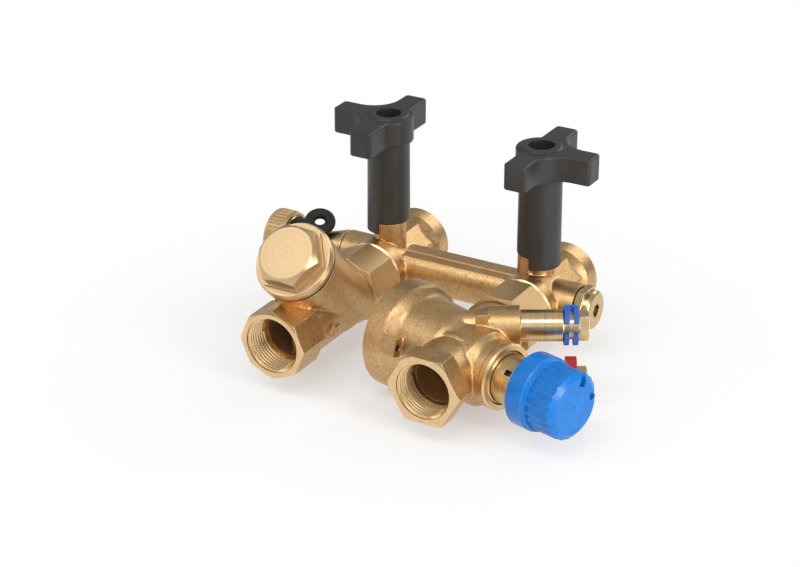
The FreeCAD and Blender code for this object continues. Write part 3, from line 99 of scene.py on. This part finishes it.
# Pipe threads, Rp 3/4
THREAD_ROOT = 13.18
THREAD_CREST = 12.06
THREAD_PITCH = 1.814
THREAD_STEPS = 72       # points in one turn
CREST_START = 0.42      # shares of the pitch between which the ridge is flat
CREST_END = 0.58
COUNTERSINK = 0.4       # bare depth at the mouth, before the ridge rises along a cone
STRAINER_PORT_Y = -135.2
VALVE_PORT_Y = -139.9
FRONT_THREAD = 12.0
REAR_THREAD = 11.0

# Flow arrow on the strainer's side, from its tail to its tip along the line
ARROW_TAIL = 71.0
ARROW_SHAFT_LENGTH = 5.0
ARROW_HEAD_LENGTH = 4.5
ARROW_NECK = ARROW_TAIL + ARROW_SHAFT_LENGTH
ARROW_TIP = ARROW_NECK + ARROW_HEAD_LENGTH
ARROW_SHAFT_HALF_WIDTH = 1.4
ARROW_HEAD_HALF_WIDTH = 3.2
ARROW_HEIGHT = -1.0
ARROW_FOOT = 13.5       # from the line's axis
ARROW_FACE = 15.8

# Fillets in the castings' hollow corners
VOXEL = 0.55            # size of their faces
FILLET_PASSES = 9       # rounds of filling
FILLET_FADE = 3.0       # distance over which the filling fades towards a machined end
FILLET_SINK = 0.12      # depth by which they are let into the solid, so that their rims stay hidden
FILLET_RISE = 0.04      # least filling that counts as a fillet
FILLET_PULL = 0.5       # share of the way to its neighbours that a point goes in one round
SHARP_ANGLE = math.radians(32)  # bend from which an edge is shaded sharp

# Machined ends of the castings: start along the axis, and the radius that each stays within
FRONT_SPIGOT = (14.0, 20)
REAR_SOCKET = (27.0, 20)
END_BOSS = (19.5, 14)
STEM_NECK = (16.0, 12)
STRAINER_PORT = (88.0, 20)
STRAINER_TAIL = (-44.0, 20)
LEG_MOUTH = (36.0, 22)
VALVE_PORT = (101.0, 20)
VALVE_TAIL = (-44.0, 16)
SPINDLE_NECK = (21.5, 18)
BELL_MOUTH = (34.0, 30)
TEST_BOSS = (19.0, 11)
FLAT_COSINE = 0.5       # a face turned this far along the axis is the end's flat face
BORE_COSINE = -0.2      # one turned this far inwards is its bore

# Radii within which a face that looks at the axis belongs to a bore
LINE_WAY = 13.3
BAR_WAY = 8.1
STEM_WAY = 5.4
LEG_WAY = 14.1
SPINDLE_WAY = 12.7
TEST_WAY = 6.1

# Finishes: places of the cut and the cored one among a casting's materials, and the rays that round an edge
CUT = 1
CORE = 2
BEVEL_SAMPLES = 4

# Camera, from the photograph
CAMERA_PLACE = Vector((459.4, -959.8, 496.3))
CAMERA_BACK = Vector((0.4499, -0.7840, 0.4277))     # away from the object
CAMERA_RIGHT = Vector((0.8673, 0.4977, 0))
CAMERA_NEAR = 0.05
CAMERA_FAR = 20.0
FOCAL_PIXELS = 2465.0
IMAGE_WIDTH = 800
SENSOR = 36.0

# Studio: what the lamps look at, and the world's grey, which changes between two heights of the sky
CENTRE = Vector((-40, -70, 10))
HORIZON = 0.24
OVERHEAD = 0.50
LOW_SKY = 0.10
HIGH_SKY = 0.80
LAMPS = {               # place, size, watts
    "key": ((-0.20, -0.75, 1.00), (0.9, 0.45), 4.4),
    "top": ((0.35, -0.62, 0.95), (0.28, 0.28), 1.4),
    "upper_right": ((0.88, -0.47, 0.56), (0.35, 0.35), 2.0),
    "left": ((-1.05, -0.40, 0.45), (0.6, 0.6), 1.4),
    "right": ((1.15, -0.40, 0.28), (0.5, 0.5), 7.5),
    "back": ((0.20, 0.95, 0.60), (0.8, 0.5), 3.2),
    "front": ((0.25, -1.20, 0.55), (0.9, 0.4), 1.2),
}

# Floor: a white glow that the camera and reflections see, weaker close to the object
FLOOR_SIZE = 6.0
FLOOR_DROP = 0.0005     # below the object
FLOOR_GREY = (0.9, 0.9, 0.9, 1)
GLOW_START = 0.05       # distances from the middle between which the glow rises
GLOW_END = 0.19
GLOW_NEAR = 0.40        # its share in the middle


def mm(value):
    """Millimetres to metres, for a number or a vector."""
    return value * 0.001


def srgb(red, green, blue):
    """Linear colour from the 0 to 255 values that a picture shows."""
    def linear(value):
        value /= 255.0
        return value / 12.92 if value <= 0.04045 else ((value + 0.055) / 1.055) ** 2.4
    return (linear(red), linear(green), linear(blue), 1.0)


# Material helpers

def coloured(sockets):
    """Those of a node's sockets that carry a colour."""
    return [socket for socket in sockets if socket.type == "RGBA"]


class Nodes:
    """Short calls for building one material's node tree."""

    def __init__(self, name):
        self.material = bpy.data.materials.new(name)
        self.material.use_nodes = True
        self.tree = self.material.node_tree
        self.shader = self.tree.nodes["Principled BSDF"]

    def add(self, kind, **values):
        """New node with the given properties."""
        node = self.tree.nodes.new(kind)
        for key, value in values.items():
            setattr(node, key, value)
        return node

    def link(self, source, target):
        self.tree.links.new(source, target)

    def feed(self, inputs, values):
        """Fill inputs in order, each from another node's output or with a plain value."""
        for socket, value in zip(inputs, values):
            if isinstance(value, bpy.types.NodeSocket):
                self.link(value, socket)
            else:
                socket.default_value = value

    def place(self):
        """Position on the piece, in metres."""
        return self.add("ShaderNodeTexCoord").outputs["Object"]

    def noise(self, vector, size_mm, detail=2.0, roughness=0.5, distortion=0.0):
        """Noise whose lumps are about size_mm across."""
        node = self.add("ShaderNodeTexNoise")
        node.inputs["Scale"].default_value = 1.0 / mm(size_mm)
        node.inputs["Detail"].default_value = detail
        node.inputs["Roughness"].default_value = roughness
        node.inputs["Distortion"].default_value = distortion
        self.link(vector, node.inputs["Vector"])
        return node.outputs["Fac"]

    def ramp(self, source, stops):
        """Colour that runs between two (position, colour) stops."""
        node = self.add("ShaderNodeValToRGB")
        for element, stop in zip(node.color_ramp.elements, stops):
            element.position, element.color = stop
        self.link(source, node.inputs["Fac"])
        return node.outputs["Color"]

    def span(self, source, low, high, start=0.0, end=1.0):
        """Value that runs from low to high while the source runs from start to end."""
        node = self.add("ShaderNodeMapRange")
        self.feed(node.inputs, (source, start, end, low, high))
        return node.outputs["Result"]

    def math(self, operation, first, second, clamp=False):
        """Result of an operation on two values."""
        node = self.add("ShaderNodeMath", operation=operation, use_clamp=clamp)
        self.feed(node.inputs, (first, second))
        return node.outputs["Value"]

    def vector_math(self, operation, *values):
        """Outputs of a vector operation: Vector or, for a length or a dot product, Value."""
        node = self.add("ShaderNodeVectorMath", operation=operation)
        self.feed(node.inputs, values)
        return node.outputs

    def mix(self, factor, first, second):
        """Mix of two colours, each a socket or a plain colour."""
        node = self.add("ShaderNodeMix", data_type="RGBA")
        self.link(factor, node.inputs["Factor"])
        self.feed(coloured(node.inputs), (first, second))
        return coloured(node.outputs)[0]

    def rounded(self, radius_mm):
        """Normal that rounds the edges by a small radius."""
        node = self.add("ShaderNodeBevel", samples=BEVEL_SAMPLES)
        node.inputs["Radius"].default_value = mm(radius_mm)
        return node.outputs["Normal"]

    def edge_wear_and_highlight(self, rounded_normal, strength):
        """Mask that is 1 on edges, where a lighter colour stands partly for rubbing wear and partly is a
        painted highlight.
        """
        flat_normal = self.add("ShaderNodeNewGeometry").outputs["Normal"]
        match = self.vector_math("DOT_PRODUCT", rounded_normal, flat_normal)["Value"]
        return self.math("MULTIPLY", self.math("SUBTRACT", 1.0, match), strength, clamp=True)

    def bump(self, height, depth_mm, normal=None):
        """Normal with a relief that is at most depth_mm high."""
        node = self.add("ShaderNodeBump")
        node.inputs["Strength"].default_value = 1.0
        node.inputs["Distance"].default_value = mm(depth_mm)
        self.link(height, node.inputs["Height"])
        if normal is not None:
            self.link(normal, node.inputs["Normal"])
        return node.outputs["Normal"]

    def lathe(self, origin, axis):
        """Coordinates (radius, height) round an axis, so that noise runs in turned rings."""
        offset = self.vector_math("SUBTRACT", self.place(), mm(origin))["Vector"]
        height = self.vector_math("DOT_PRODUCT", offset, axis)["Value"]
        across_axis = self.vector_math("CROSS_PRODUCT", offset, axis)["Vector"]
        radius = self.vector_math("LENGTH", across_axis)["Value"]
        both = self.add("ShaderNodeCombineXYZ")
        self.feed(both.inputs, (radius, height))
        return both.outputs["Vector"]

    def surface(self, colour, roughness, normal, **constants):
        """Material with a linked colour, roughness and normal, and values that are the same all over."""
        self.link(colour, self.shader.inputs["Base Color"])
        self.link(roughness, self.shader.inputs["Roughness"])
        self.link(normal, self.shader.inputs["Normal"])
        for name, value in constants.items():
            self.shader.inputs[name.replace("_", " ")].default_value = value
        return self.material


# Materials

def cast_brass():
    """Shot-blasted casting: satin, finely grained, a little uneven in tone, brighter on its edges by wear and
    a painted highlight.
    """
    n = Nodes("cast_brass")
    place = n.place()
    cloud = n.noise(place, 9.0, detail=3.0)
    grain = n.noise(place, 0.8, detail=4.0, roughness=0.62)
    specks = n.noise(place, 1.5, detail=2.0, roughness=0.7)
    base = n.ramp(cloud, [(0.30, srgb(213, 176, 122)), (0.75, srgb(226, 192, 142))])
    mottled = n.mix(n.span(grain, 0.0, 0.60, start=0.35, end=0.65), base, srgb(160, 118, 70))
    pitted = n.mix(n.span(specks, 0.0, 0.55, start=0.60, end=0.72), mottled, srgb(112, 78, 44))
    edge = n.rounded(0.5)
    # Lighter colour on the edges: rubbing wear, and a painted highlight where edges catch the light
    colour = n.mix(n.edge_wear_and_highlight(edge, 1.5), pitted, srgb(240, 214, 170))
    roughness = n.math("ADD", n.span(grain, 0.30, 0.42), n.span(cloud, -0.03, 0.05))
    return n.surface(colour, roughness, n.bump(grain, 0.11, edge), Metallic=1.0)


def cut_brass():
    """Faces and threads that a tool has cut: pale, smooth, finely scored."""
    n = Nodes("cut_brass")
    place = n.place()
    score = n.noise(place, 1.2, detail=2.0)
    base = n.ramp(score, [(0.3, srgb(220, 186, 136)), (0.7, srgb(234, 202, 154))])
    edge = n.rounded(0.12)
    # Lighter colour on the edges: rubbing wear, and a painted highlight where edges catch the light
    colour = n.mix(n.edge_wear_and_highlight(edge, 2.0), base, srgb(250, 226, 182))
    return n.surface(colour, n.span(score, 0.26, 0.36), n.bump(score, 0.006, edge), Metallic=1.0)


def core_brass():
    """Skin that the sand core leaves in a water way: dull and coarse."""
    n = Nodes("core_brass")
    sand = n.noise(n.place(), 1.1, detail=3.0, roughness=0.6)
    colour = n.ramp(sand, [(0.3, srgb(196, 160, 116)), (0.7, srgb(224, 192, 148))])
    return n.surface(colour, n.span(sand, 0.6, 0.75), n.bump(sand, 0.12), Metallic=1.0)


def turned_brass(name, origin, axis, tone=(222, 190, 140), roughness=0.20):
    """Lathe-cut brass: fine rings round the piece's own axis."""
    n = Nodes(name)
    rings = n.noise(n.lathe(origin, axis), 0.7, detail=4.0, roughness=0.7)
    dark = srgb(*(0.86 * part for part in tone))
    base = n.ramp(rings, [(0.3, dark), (0.7, srgb(*tone))])
    edge = n.rounded(0.35)
    # Lighter colour on the edges: rubbing wear, and a painted highlight where edges catch the light
    colour = n.mix(n.edge_wear_and_highlight(edge, 2.5), base, srgb(246, 218, 168))
    return n.surface(colour, n.span(rings, roughness, roughness + 0.14), n.bump(rings, 0.008, edge),
                     Metallic=1.0)


def black_plastic():
    """Glass-filled moulding with a fine spark-eroded skin."""
    n = Nodes("black_plastic")
    place = n.place()
    skin = n.noise(place, 0.28, detail=2.0, roughness=0.6)
    cloud = n.noise(place, 14.0)
    base = n.ramp(cloud, [(0.3, srgb(42, 39, 37)), (0.7, srgb(50, 47, 45))])
    edge = n.rounded(0.6)
    # Lighter grey on the edges: rubbing wear, and a painted highlight where edges catch the light
    colour = n.mix(n.edge_wear_and_highlight(edge, 1.2), base, srgb(84, 81, 78))
    return n.surface(colour, n.span(skin, 0.34, 0.48), n.bump(skin, 0.03, edge), Specular_IOR_Level=0.45)


def moulded(name, light, dark, roughness, edge_mm=0.3, specular=0.5):
    """Coloured moulding: slight flow marks, smooth skin."""
    n = Nodes(name)
    place = n.place()
    flow = n.noise(place, 6.0, detail=2.0, distortion=0.6)
    skin = n.noise(place, 0.22, detail=2.0)
    base = n.ramp(flow, [(0.3, srgb(*dark)), (0.7, srgb(*light))])
    edge = n.rounded(edge_mm)
    # Lighter colour on the edges, such as the cap's bevel and step rings: rubbing wear, and a painted
    # highlight
    colour = n.mix(n.edge_wear_and_highlight(edge, 3.0), base, srgb(*(min(255, 60 + part) for part in light)))
    return n.surface(colour, n.span(skin, roughness, roughness + 0.1), n.bump(skin, 0.012, edge),
                     Specular_IOR_Level=specular)


def rubber():
    """Moulded seal: dark, dull and a little dusty."""
    n = Nodes("rubber")
    place = n.place()
    dust = n.noise(place, 3.0, detail=3.0)
    skin = n.noise(place, 0.4)
    colour = n.ramp(dust, [(0.35, srgb(22, 22, 23)), (0.8, srgb(40, 39, 38))])
    return n.surface(colour, n.span(skin, 0.5, 0.68), n.bump(skin, 0.03), Specular_IOR_Level=0.35)


def bare_steel(name, tone, roughness):
    """Bare or plated steel with fine marks."""
    n = Nodes(name)
    place = n.place()
    marks = n.noise(place, 0.5, detail=3.0)
    cloud = n.noise(place, 5.0)
    colour = n.ramp(cloud, [(0.3, srgb(*(0.85 * part for part in tone))), (0.7, srgb(*tone))])
    return n.surface(colour, n.span(marks, roughness, roughness + 0.12), n.bump(marks, 0.01), Metallic=1.0)


# Castings with fillets

def across(offset, axis):
    """The part of an offset that is square to an axis."""
    return offset - axis * offset.dot(axis)


class MachinedEnd:
    """A stretch of a casting that was cut in a lathe: beyond start along an axis, within a radius."""

    def __init__(self, origin, axis, end):
        start, radius = end
        self.origin = mm(origin)
        self.axis = axis
        self.start = mm(start)
        self.radius = mm(radius)

    def depth(self, point):
        """How far a point is beyond the start of this end, or None if it belongs to another stretch."""
        offset = point - self.origin
        if across(offset, self.axis).length >= self.radius:
            return None
        return offset.dot(self.axis) - self.start

    def holds(self, point):
        """Whether a point is in this stretch."""
        depth = self.depth(point)
        return depth is not None and depth > 0

    def fade(self, point):
        """0 at this end, 1 well before it."""
        depth = self.depth(point)
        return 1.0 if depth is None else min(1.0, max(0.0, -depth / mm(FILLET_FADE)))

    def cuts(self, point, normal):
        """Whether a face there is this end's flat face or its bore."""
        spoke = across(point - self.origin, self.axis).normalized()
        flat = normal.dot(self.axis) > FLAT_COSINE
        bore = normal.dot(spoke) < BORE_COSINE
        return self.holds(point) and (flat or bore)


class Way:
    """A bore through a casting, within a radius of an axis."""

    def __init__(self, origin, axis, radius):
        self.origin = mm(origin)
        self.axis = axis
        self.radius = mm(radius)

    def faces(self, point, normal):
        """Whether a surface at a point looks into this bore."""
        spoke = across(point - self.origin, self.axis)
        return spoke.length < self.radius and normal.dot(spoke) < 0


def even_mesh(solid):
    """The same solid in evenly small faces."""
    obj = bpy.data.objects.new("even", solid)
    bpy.context.collection.objects.link(obj)
    remesh = obj.modifiers.new("even", "REMESH")
    remesh.mode = "VOXEL"
    remesh.voxel_size = mm(VOXEL)
    bpy.context.view_layer.update()
    mesh = bpy.data.meshes.new_from_object(obj.evaluated_get(bpy.context.evaluated_depsgraph_get()))
    bpy.data.objects.remove(obj)
    return mesh


def vectors(owner, name, count):
    """Array of a mesh's points or normals."""
    values = np.zeros(count * 3)
    owner.foreach_get(name, values)
    return values.reshape(count, 3)


def pulls(mesh, ends, ways):
    """How freely each point may move: not in the bores, and less towards the machined ends."""
    pull = np.zeros((len(mesh.vertices), 1))
    for k, vertex in enumerate(mesh.vertices):
        if not any(way.faces(vertex.co, vertex.normal) for way in ways):
            pull[k] = FILLET_PULL * min(end.fade(vertex.co) for end in ends)
    return pull


def filled_hollows(mesh, points, pull):
    """Points after rounds of moving towards their neighbours, outwards only, and the last normals."""
    count = len(points)
    pairs = np.zeros(len(mesh.edges) * 2, dtype=np.int64)
    mesh.edges.foreach_get("vertices", pairs)
    pairs = pairs.reshape(-1, 2)
    first, second = np.concatenate([pairs, pairs[:, ::-1]]).T
    neighbours = np.bincount(first, minlength=count)[:, None]
    for _ in range(FILLET_PASSES):
        sums = [np.bincount(first, points[second, axis], count) for axis in range(3)]
        move = np.array(sums).T / neighbours - points
        mesh.vertices.foreach_set("co", points.ravel())
        mesh.update()
        normals = vectors(mesh.vertex_normals, "vector", count)
        outward = (move * normals).sum(axis=1, keepdims=True)
        points = points + pull * move * (outward > 0)
    return points, normals


def fillets(solid, ends, ways):
    """Patches that round the hollow corners: the filled even mesh, kept only where filling raised it."""
    mesh = even_mesh(solid)
    count = len(mesh.vertices)
    before = vectors(mesh.vertices, "co", count)
    flat = vectors(mesh.vertex_normals, "vector", count)
    filled, normals = filled_hollows(mesh, before, pulls(mesh, ends, ways))
    rise = ((filled - before) * flat).sum(axis=1)
    mesh.vertices.foreach_set("co", (filled - mm(FILLET_SINK) * normals).ravel())
    work = bmesh.new()
    work.from_mesh(mesh)
    low = [face for face in work.faces if max(rise[vertex.index] for vertex in face.verts) < mm(FILLET_RISE)]
    bmesh.ops.delete(work, geom=low, context="FACES")
    work.to_mesh(mesh)
    work.free()
    return mesh


def thread_mesh(mouth, inward, length):
    """Female pipe thread as a helical ridge, with a countersink at the mouth."""
    side = inward.orthogonal().normalized()
    other = inward.cross(side)
    profile = [(0.0, THREAD_ROOT), (CREST_START, THREAD_CREST),
               (CREST_END, THREAD_CREST), (1.0, THREAD_ROOT)]
    turns = length / THREAD_PITCH
    count = int(turns * THREAD_STEPS)
    points = []
    for k in range(count + 1):
        angle = 2 * math.pi * k / THREAD_STEPS
        spoke = side * math.cos(angle) + other * math.sin(angle)
        for share, radius in profile:
            depth = THREAD_PITCH * (k / THREAD_STEPS + share)
            radius = min(THREAD_ROOT, max(radius, THREAD_ROOT + COUNTERSINK - depth))
            points.append(mm(mouth + inward * depth + spoke * radius))
    faces = []
    row = len(profile)
    for k in range(count):
        for j in range(row - 1):
            low = k * row + j
            faces.append((low, low + 1, low + row + 1, low + row))
    mesh = bpy.data.meshes.new("thread")
    mesh.from_pydata(points, [], faces)
    return mesh


def arrow_mesh():
    """Raised flow arrow with sharp edges."""
    half = [(ARROW_TAIL, ARROW_SHAFT_HALF_WIDTH), (ARROW_NECK, ARROW_SHAFT_HALF_WIDTH),
            (ARROW_NECK, ARROW_HEAD_HALF_WIDTH), (ARROW_TIP, 0)]
    outline = half + [(along, -rise) for along, rise in half[2::-1]]
    count = len(outline)
    points = [mm(Vector((LEFT_X + reach, BAR_Y - along, ARROW_HEIGHT + rise)))
              for reach in (ARROW_FOOT, ARROW_FACE) for along, rise in outline]
    faces = [tuple(range(count))[::-1], tuple(range(count, 2 * count))]
    for k in range(count):
        after = (k + 1) % count
        faces.append((k, after, after + count, k + count))
    mesh = bpy.data.meshes.new("arrow")
    mesh.from_pydata(points, [], faces)
    return mesh


def joined(name, meshes):
    """One object from several meshes, shaded smooth with sharp edges kept."""
    work = bmesh.new()
    for mesh in meshes:
        work.from_mesh(mesh)
    whole = bpy.data.meshes.new(name)
    work.to_mesh(whole)
    work.free()
    for polygon in whole.polygons:
        polygon.use_smooth = True
    whole.set_sharp_from_angle(angle=SHARP_ANGLE)
    obj = bpy.data.objects.new(name, whole)
    bpy.context.collection.objects.link(obj)
    return obj


def casting(node, ends, ways, extras, materials):
    """Casting that stands for a node: its solid with fillets, cut faces and extra meshes such as threads."""
    solid = nodes[node].data
    obj = joined(node + "_casting", [solid, fillets(solid, ends, ways)] + extras)
    obj.data.materials.clear()
    for material in materials:
        obj.data.materials.append(material)
    for polygon in obj.data.polygons:
        if any(end.cuts(polygon.center, polygon.normal) for end in ends):
            polygon.material_index = CUT
        elif any(way.faces(polygon.center, polygon.normal) for way in ways):
            polygon.material_index = CORE
    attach(obj, "set")
    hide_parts(node)


def bypass_casting(materials):
    """Bypass body, with a pipe thread in each rear socket."""
    ends = []
    ways = []
    threads = []
    for name, origin in LINES.items():
        outward = BAR_AXIS if name == "right" else -BAR_AXIS
        ends += [MachinedEnd(origin, LINE_AXIS, FRONT_SPIGOT), MachinedEnd(origin, -LINE_AXIS, REAR_SOCKET),
                 MachinedEnd(origin, outward, END_BOSS), MachinedEnd(origin, STEM_AXIS, STEM_NECK)]
        ways += [Way(origin, LINE_AXIS, LINE_WAY), Way(origin, BAR_AXIS, BAR_WAY),
                 Way(origin, STEM_AXIS, STEM_WAY)]
        mouth = Vector((origin.x, 0, 0))
        threads.append(thread_mesh(mouth, LINE_AXIS, REAR_THREAD))
    casting("bypass_body", ends, ways, threads, materials)


def strainer_casting(materials):
    """Strainer body, with the thread of its front port and the flow arrow."""
    origin = LINES["left"]
    ends = [MachinedEnd(origin, LINE_AXIS, STRAINER_PORT), MachinedEnd(origin, -LINE_AXIS, STRAINER_TAIL),
            MachinedEnd(LEG_ORIGIN, LEG_AXIS, LEG_MOUTH)]
    ways = [Way(origin, LINE_AXIS, LINE_WAY), Way(LEG_ORIGIN, LEG_AXIS, LEG_WAY)]
    mouth = Vector((LEFT_X, STRAINER_PORT_Y, 0))
    extras = [thread_mesh(mouth, -LINE_AXIS, FRONT_THREAD), arrow_mesh()]
    casting("strainer_body", ends, ways, extras, materials)


def valve_casting(materials):
    """Control valve body, with the thread of its front port."""
    origin = LINES["right"]
    ends = [MachinedEnd(origin, LINE_AXIS, VALVE_PORT), MachinedEnd(origin, -LINE_AXIS, VALVE_TAIL),
            MachinedEnd(SPINDLE_ORIGIN, SPINDLE_AXIS, SPINDLE_NECK),
            MachinedEnd(SPINDLE_ORIGIN, -SPINDLE_AXIS, BELL_MOUTH)]
    ways = [Way(origin, LINE_AXIS, LINE_WAY), Way(SPINDLE_ORIGIN, SPINDLE_AXIS, SPINDLE_WAY)]
    for boss in TEST_ORIGINS.values():
        ends.append(MachinedEnd(boss, TEST_AXIS, TEST_BOSS))
        ways.append(Way(boss, TEST_AXIS, TEST_WAY))
    mouth = Vector((RIGHT_X, VALVE_PORT_Y, 0))
    casting("valve_body", ends, ways, [thread_mesh(mouth, -LINE_AXIS, FRONT_THREAD)], materials)


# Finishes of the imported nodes

def slot_finishes():
    """Materials for the record's slots."""
    bar_brass = turned_brass("bar_brass", LINES["left"], BAR_AXIS)
    return {
        "cast_brass": bar_brass,
        "machined_brass": bar_brass,
        "black_plastic": black_plastic(),
        "blue_plastic": moulded("blue_plastic", (14, 118, 202), (10, 106, 186), roughness=0.22,
                                edge_mm=0.35, specular=0.4),
        "rubber": rubber(),
        "white_plastic": moulded("white_plastic", (236, 235, 230), (222, 221, 216), roughness=0.4),
        "steel": bare_steel("steel", (190, 190, 192), roughness=0.28),
        "chrome": bare_steel("chrome", (214, 214, 218), roughness=0.08),
        "blue_strap": moulded("blue_strap", (30, 96, 190), (22, 78, 165), roughness=0.38),
        "red_strap": moulded("red_strap", (190, 26, 24), (160, 16, 16), roughness=0.38),
    }


def own_finishes():
    """Materials of the turned pieces, whose rings run round their own axes."""
    own = {}
    own["strainer_plug"] = turned_brass("plug_brass", LEG_ORIGIN, LEG_AXIS, (220, 189, 145), roughness=0.30)
    own["drain_cap"] = turned_brass("knurled_brass", LINES["left"], BAR_AXIS, (226, 192, 142), roughness=0.38)
    spindle_brass = turned_brass("spindle_brass", SPINDLE_ORIGIN, SPINDLE_AXIS)
    for node in ("bonnet", "spindle_guide", "spindle", "cartridge", "bell_cover", "regulator_sleeve",
                 "diaphragm_clamp", "diaphragm_plate"):
        own[node] = spindle_brass
    for side, origin in LINES.items():
        line_brass = turned_brass(side + "_line_brass", origin, LINE_AXIS, (228, 194, 142), roughness=0.40)
        own[side + "_union_nut"] = line_brass
        own[side + "_seat_retainer"] = line_brass
        own[side + "_gland_nut"] = turned_brass(side + "_stem_brass", origin, STEM_AXIS)
    for colour, origin in TEST_ORIGINS.items():
        plug_brass = turned_brass(colour + "_test_brass", origin, TEST_AXIS, (240, 210, 162), roughness=0.18)
        own[colour + "_test_plug"] = plug_brass
        own[colour + "_test_cap"] = plug_brass
    return own


def finish_nodes():
    """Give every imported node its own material, or else its slot's."""
    by_slot = slot_finishes()
    own = own_finishes()
    for part in frame["record"]["subparts"]:
        material = own.get(part["node"], by_slot[part["material_slot"]])
        data = nodes[part["node"]].data
        data.materials.clear()
        data.materials.append(material)


# Springs

def spring(node):
    """Coil that stands for a node: a copy of its mesh, attached to the set in its place."""
    coil = bpy.data.objects.new(node + "_coil", nodes[node].data.copy())
    bpy.context.collection.objects.link(coil)
    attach(coil, "set")
    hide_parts(node)
    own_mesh(coil)


# Stage

def floor_finish():
    """Pale matt surface under a white glow, which is weaker near the object so that its shadow shows."""
    n = Nodes("floor")
    n.tree.nodes.remove(n.shader)
    matt = n.add("ShaderNodeBsdfDiffuse")
    matt.inputs["Color"].default_value = FLOOR_GREY
    glow = n.add("ShaderNodeEmission")
    glow.inputs["Color"].default_value = (1, 1, 1, 1)
    glow.inputs["Strength"].default_value = 1.0
    rays = n.add("ShaderNodeLightPath").outputs
    seen = n.math("MAXIMUM", rays["Is Camera Ray"], rays["Is Glossy Ray"])
    seen = n.math("MAXIMUM", seen, rays["Is Transmission Ray"])
    distance = n.vector_math("LENGTH", n.place())["Value"]
    share = n.math("MULTIPLY", seen, n.span(distance, GLOW_NEAR, 1.0, GLOW_START, GLOW_END))
    mix = n.add("ShaderNodeMixShader")
    n.feed(mix.inputs, (share, matt.outputs["BSDF"], glow.outputs["Emission"]))
    n.link(mix.outputs["Shader"], n.tree.nodes["Material Output"].inputs["Surface"])
    return n.material


def floor():
    """Floor that shows the soft shadow and fades into the white background."""
    place = mm(CENTRE)
    place.z = cad_box[0][2] - FLOOR_DROP
    bpy.ops.mesh.primitive_grid_add(size=FLOOR_SIZE, location=place)
    obj = bpy.context.object
    obj.name = "floor"
    obj.data.materials.append(floor_finish())


def world():
    """Studio that is dim at the horizon and bright overhead."""
    scene_world = bpy.data.worlds.new("studio")
    bpy.context.scene.world = scene_world
    scene_world.use_nodes = True
    tree = scene_world.node_tree
    background = tree.nodes["Background"]
    direction = tree.nodes.new("ShaderNodeTexCoord")
    parts = tree.nodes.new("ShaderNodeSeparateXYZ")
    tree.links.new(direction.outputs["Generated"], parts.inputs["Vector"])
    ramp = tree.nodes.new("ShaderNodeValToRGB")
    ramp.color_ramp.elements[0].position = LOW_SKY
    ramp.color_ramp.elements[0].color = (HORIZON, HORIZON, HORIZON, 1)
    ramp.color_ramp.elements[1].position = HIGH_SKY
    ramp.color_ramp.elements[1].color = (OVERHEAD, OVERHEAD, OVERHEAD, 1)
    tree.links.new(parts.outputs["Z"], ramp.inputs["Fac"])
    tree.links.new(ramp.outputs["Color"], background.inputs["Color"])


def softbox(name, place, size, power):
    """Soft area lamp that looks at the object."""
    lamp = bpy.data.lights.new(name, "AREA")
    lamp.shape = "RECTANGLE"
    lamp.size, lamp.size_y = size
    lamp.energy = power
    obj = bpy.data.objects.new(name, lamp)
    obj.location = place
    obj.rotation_euler = (mm(CENTRE) - Vector(place)).to_track_quat("-Z", "Y").to_euler()
    bpy.context.collection.objects.link(obj)


def lights():
    """All lamps of the studio."""
    for name, (place, size, power) in LAMPS.items():
        softbox(name, place, size, power)


def camera():
    """Camera that sees the object as the photograph does."""
    data = bpy.data.cameras.new("camera")
    data.sensor_width = SENSOR
    data.lens = FOCAL_PIXELS / IMAGE_WIDTH * SENSOR
    data.clip_start = CAMERA_NEAR
    data.clip_end = CAMERA_FAR
    obj = bpy.data.objects.new("camera", data)
    up = CAMERA_BACK.cross(CAMERA_RIGHT)
    turn = Matrix((CAMERA_RIGHT, up, CAMERA_BACK)).transposed().to_4x4()
    obj.matrix_world = Matrix.Translation(mm(CAMERA_PLACE)) @ turn
    bpy.context.collection.objects.link(obj)
    bpy.context.scene.camera = obj


finish_nodes()
spring("spindle_spring")
spring("regulator_spring")
casting_finish = (cast_brass(), cut_brass(), core_brass())
bypass_casting(casting_finish)
strainer_casting(casting_finish)
valve_casting(casting_finish)
floor()
world()
lights()
camera()
bpy.context.scene.view_settings.view_transform = "Standard"
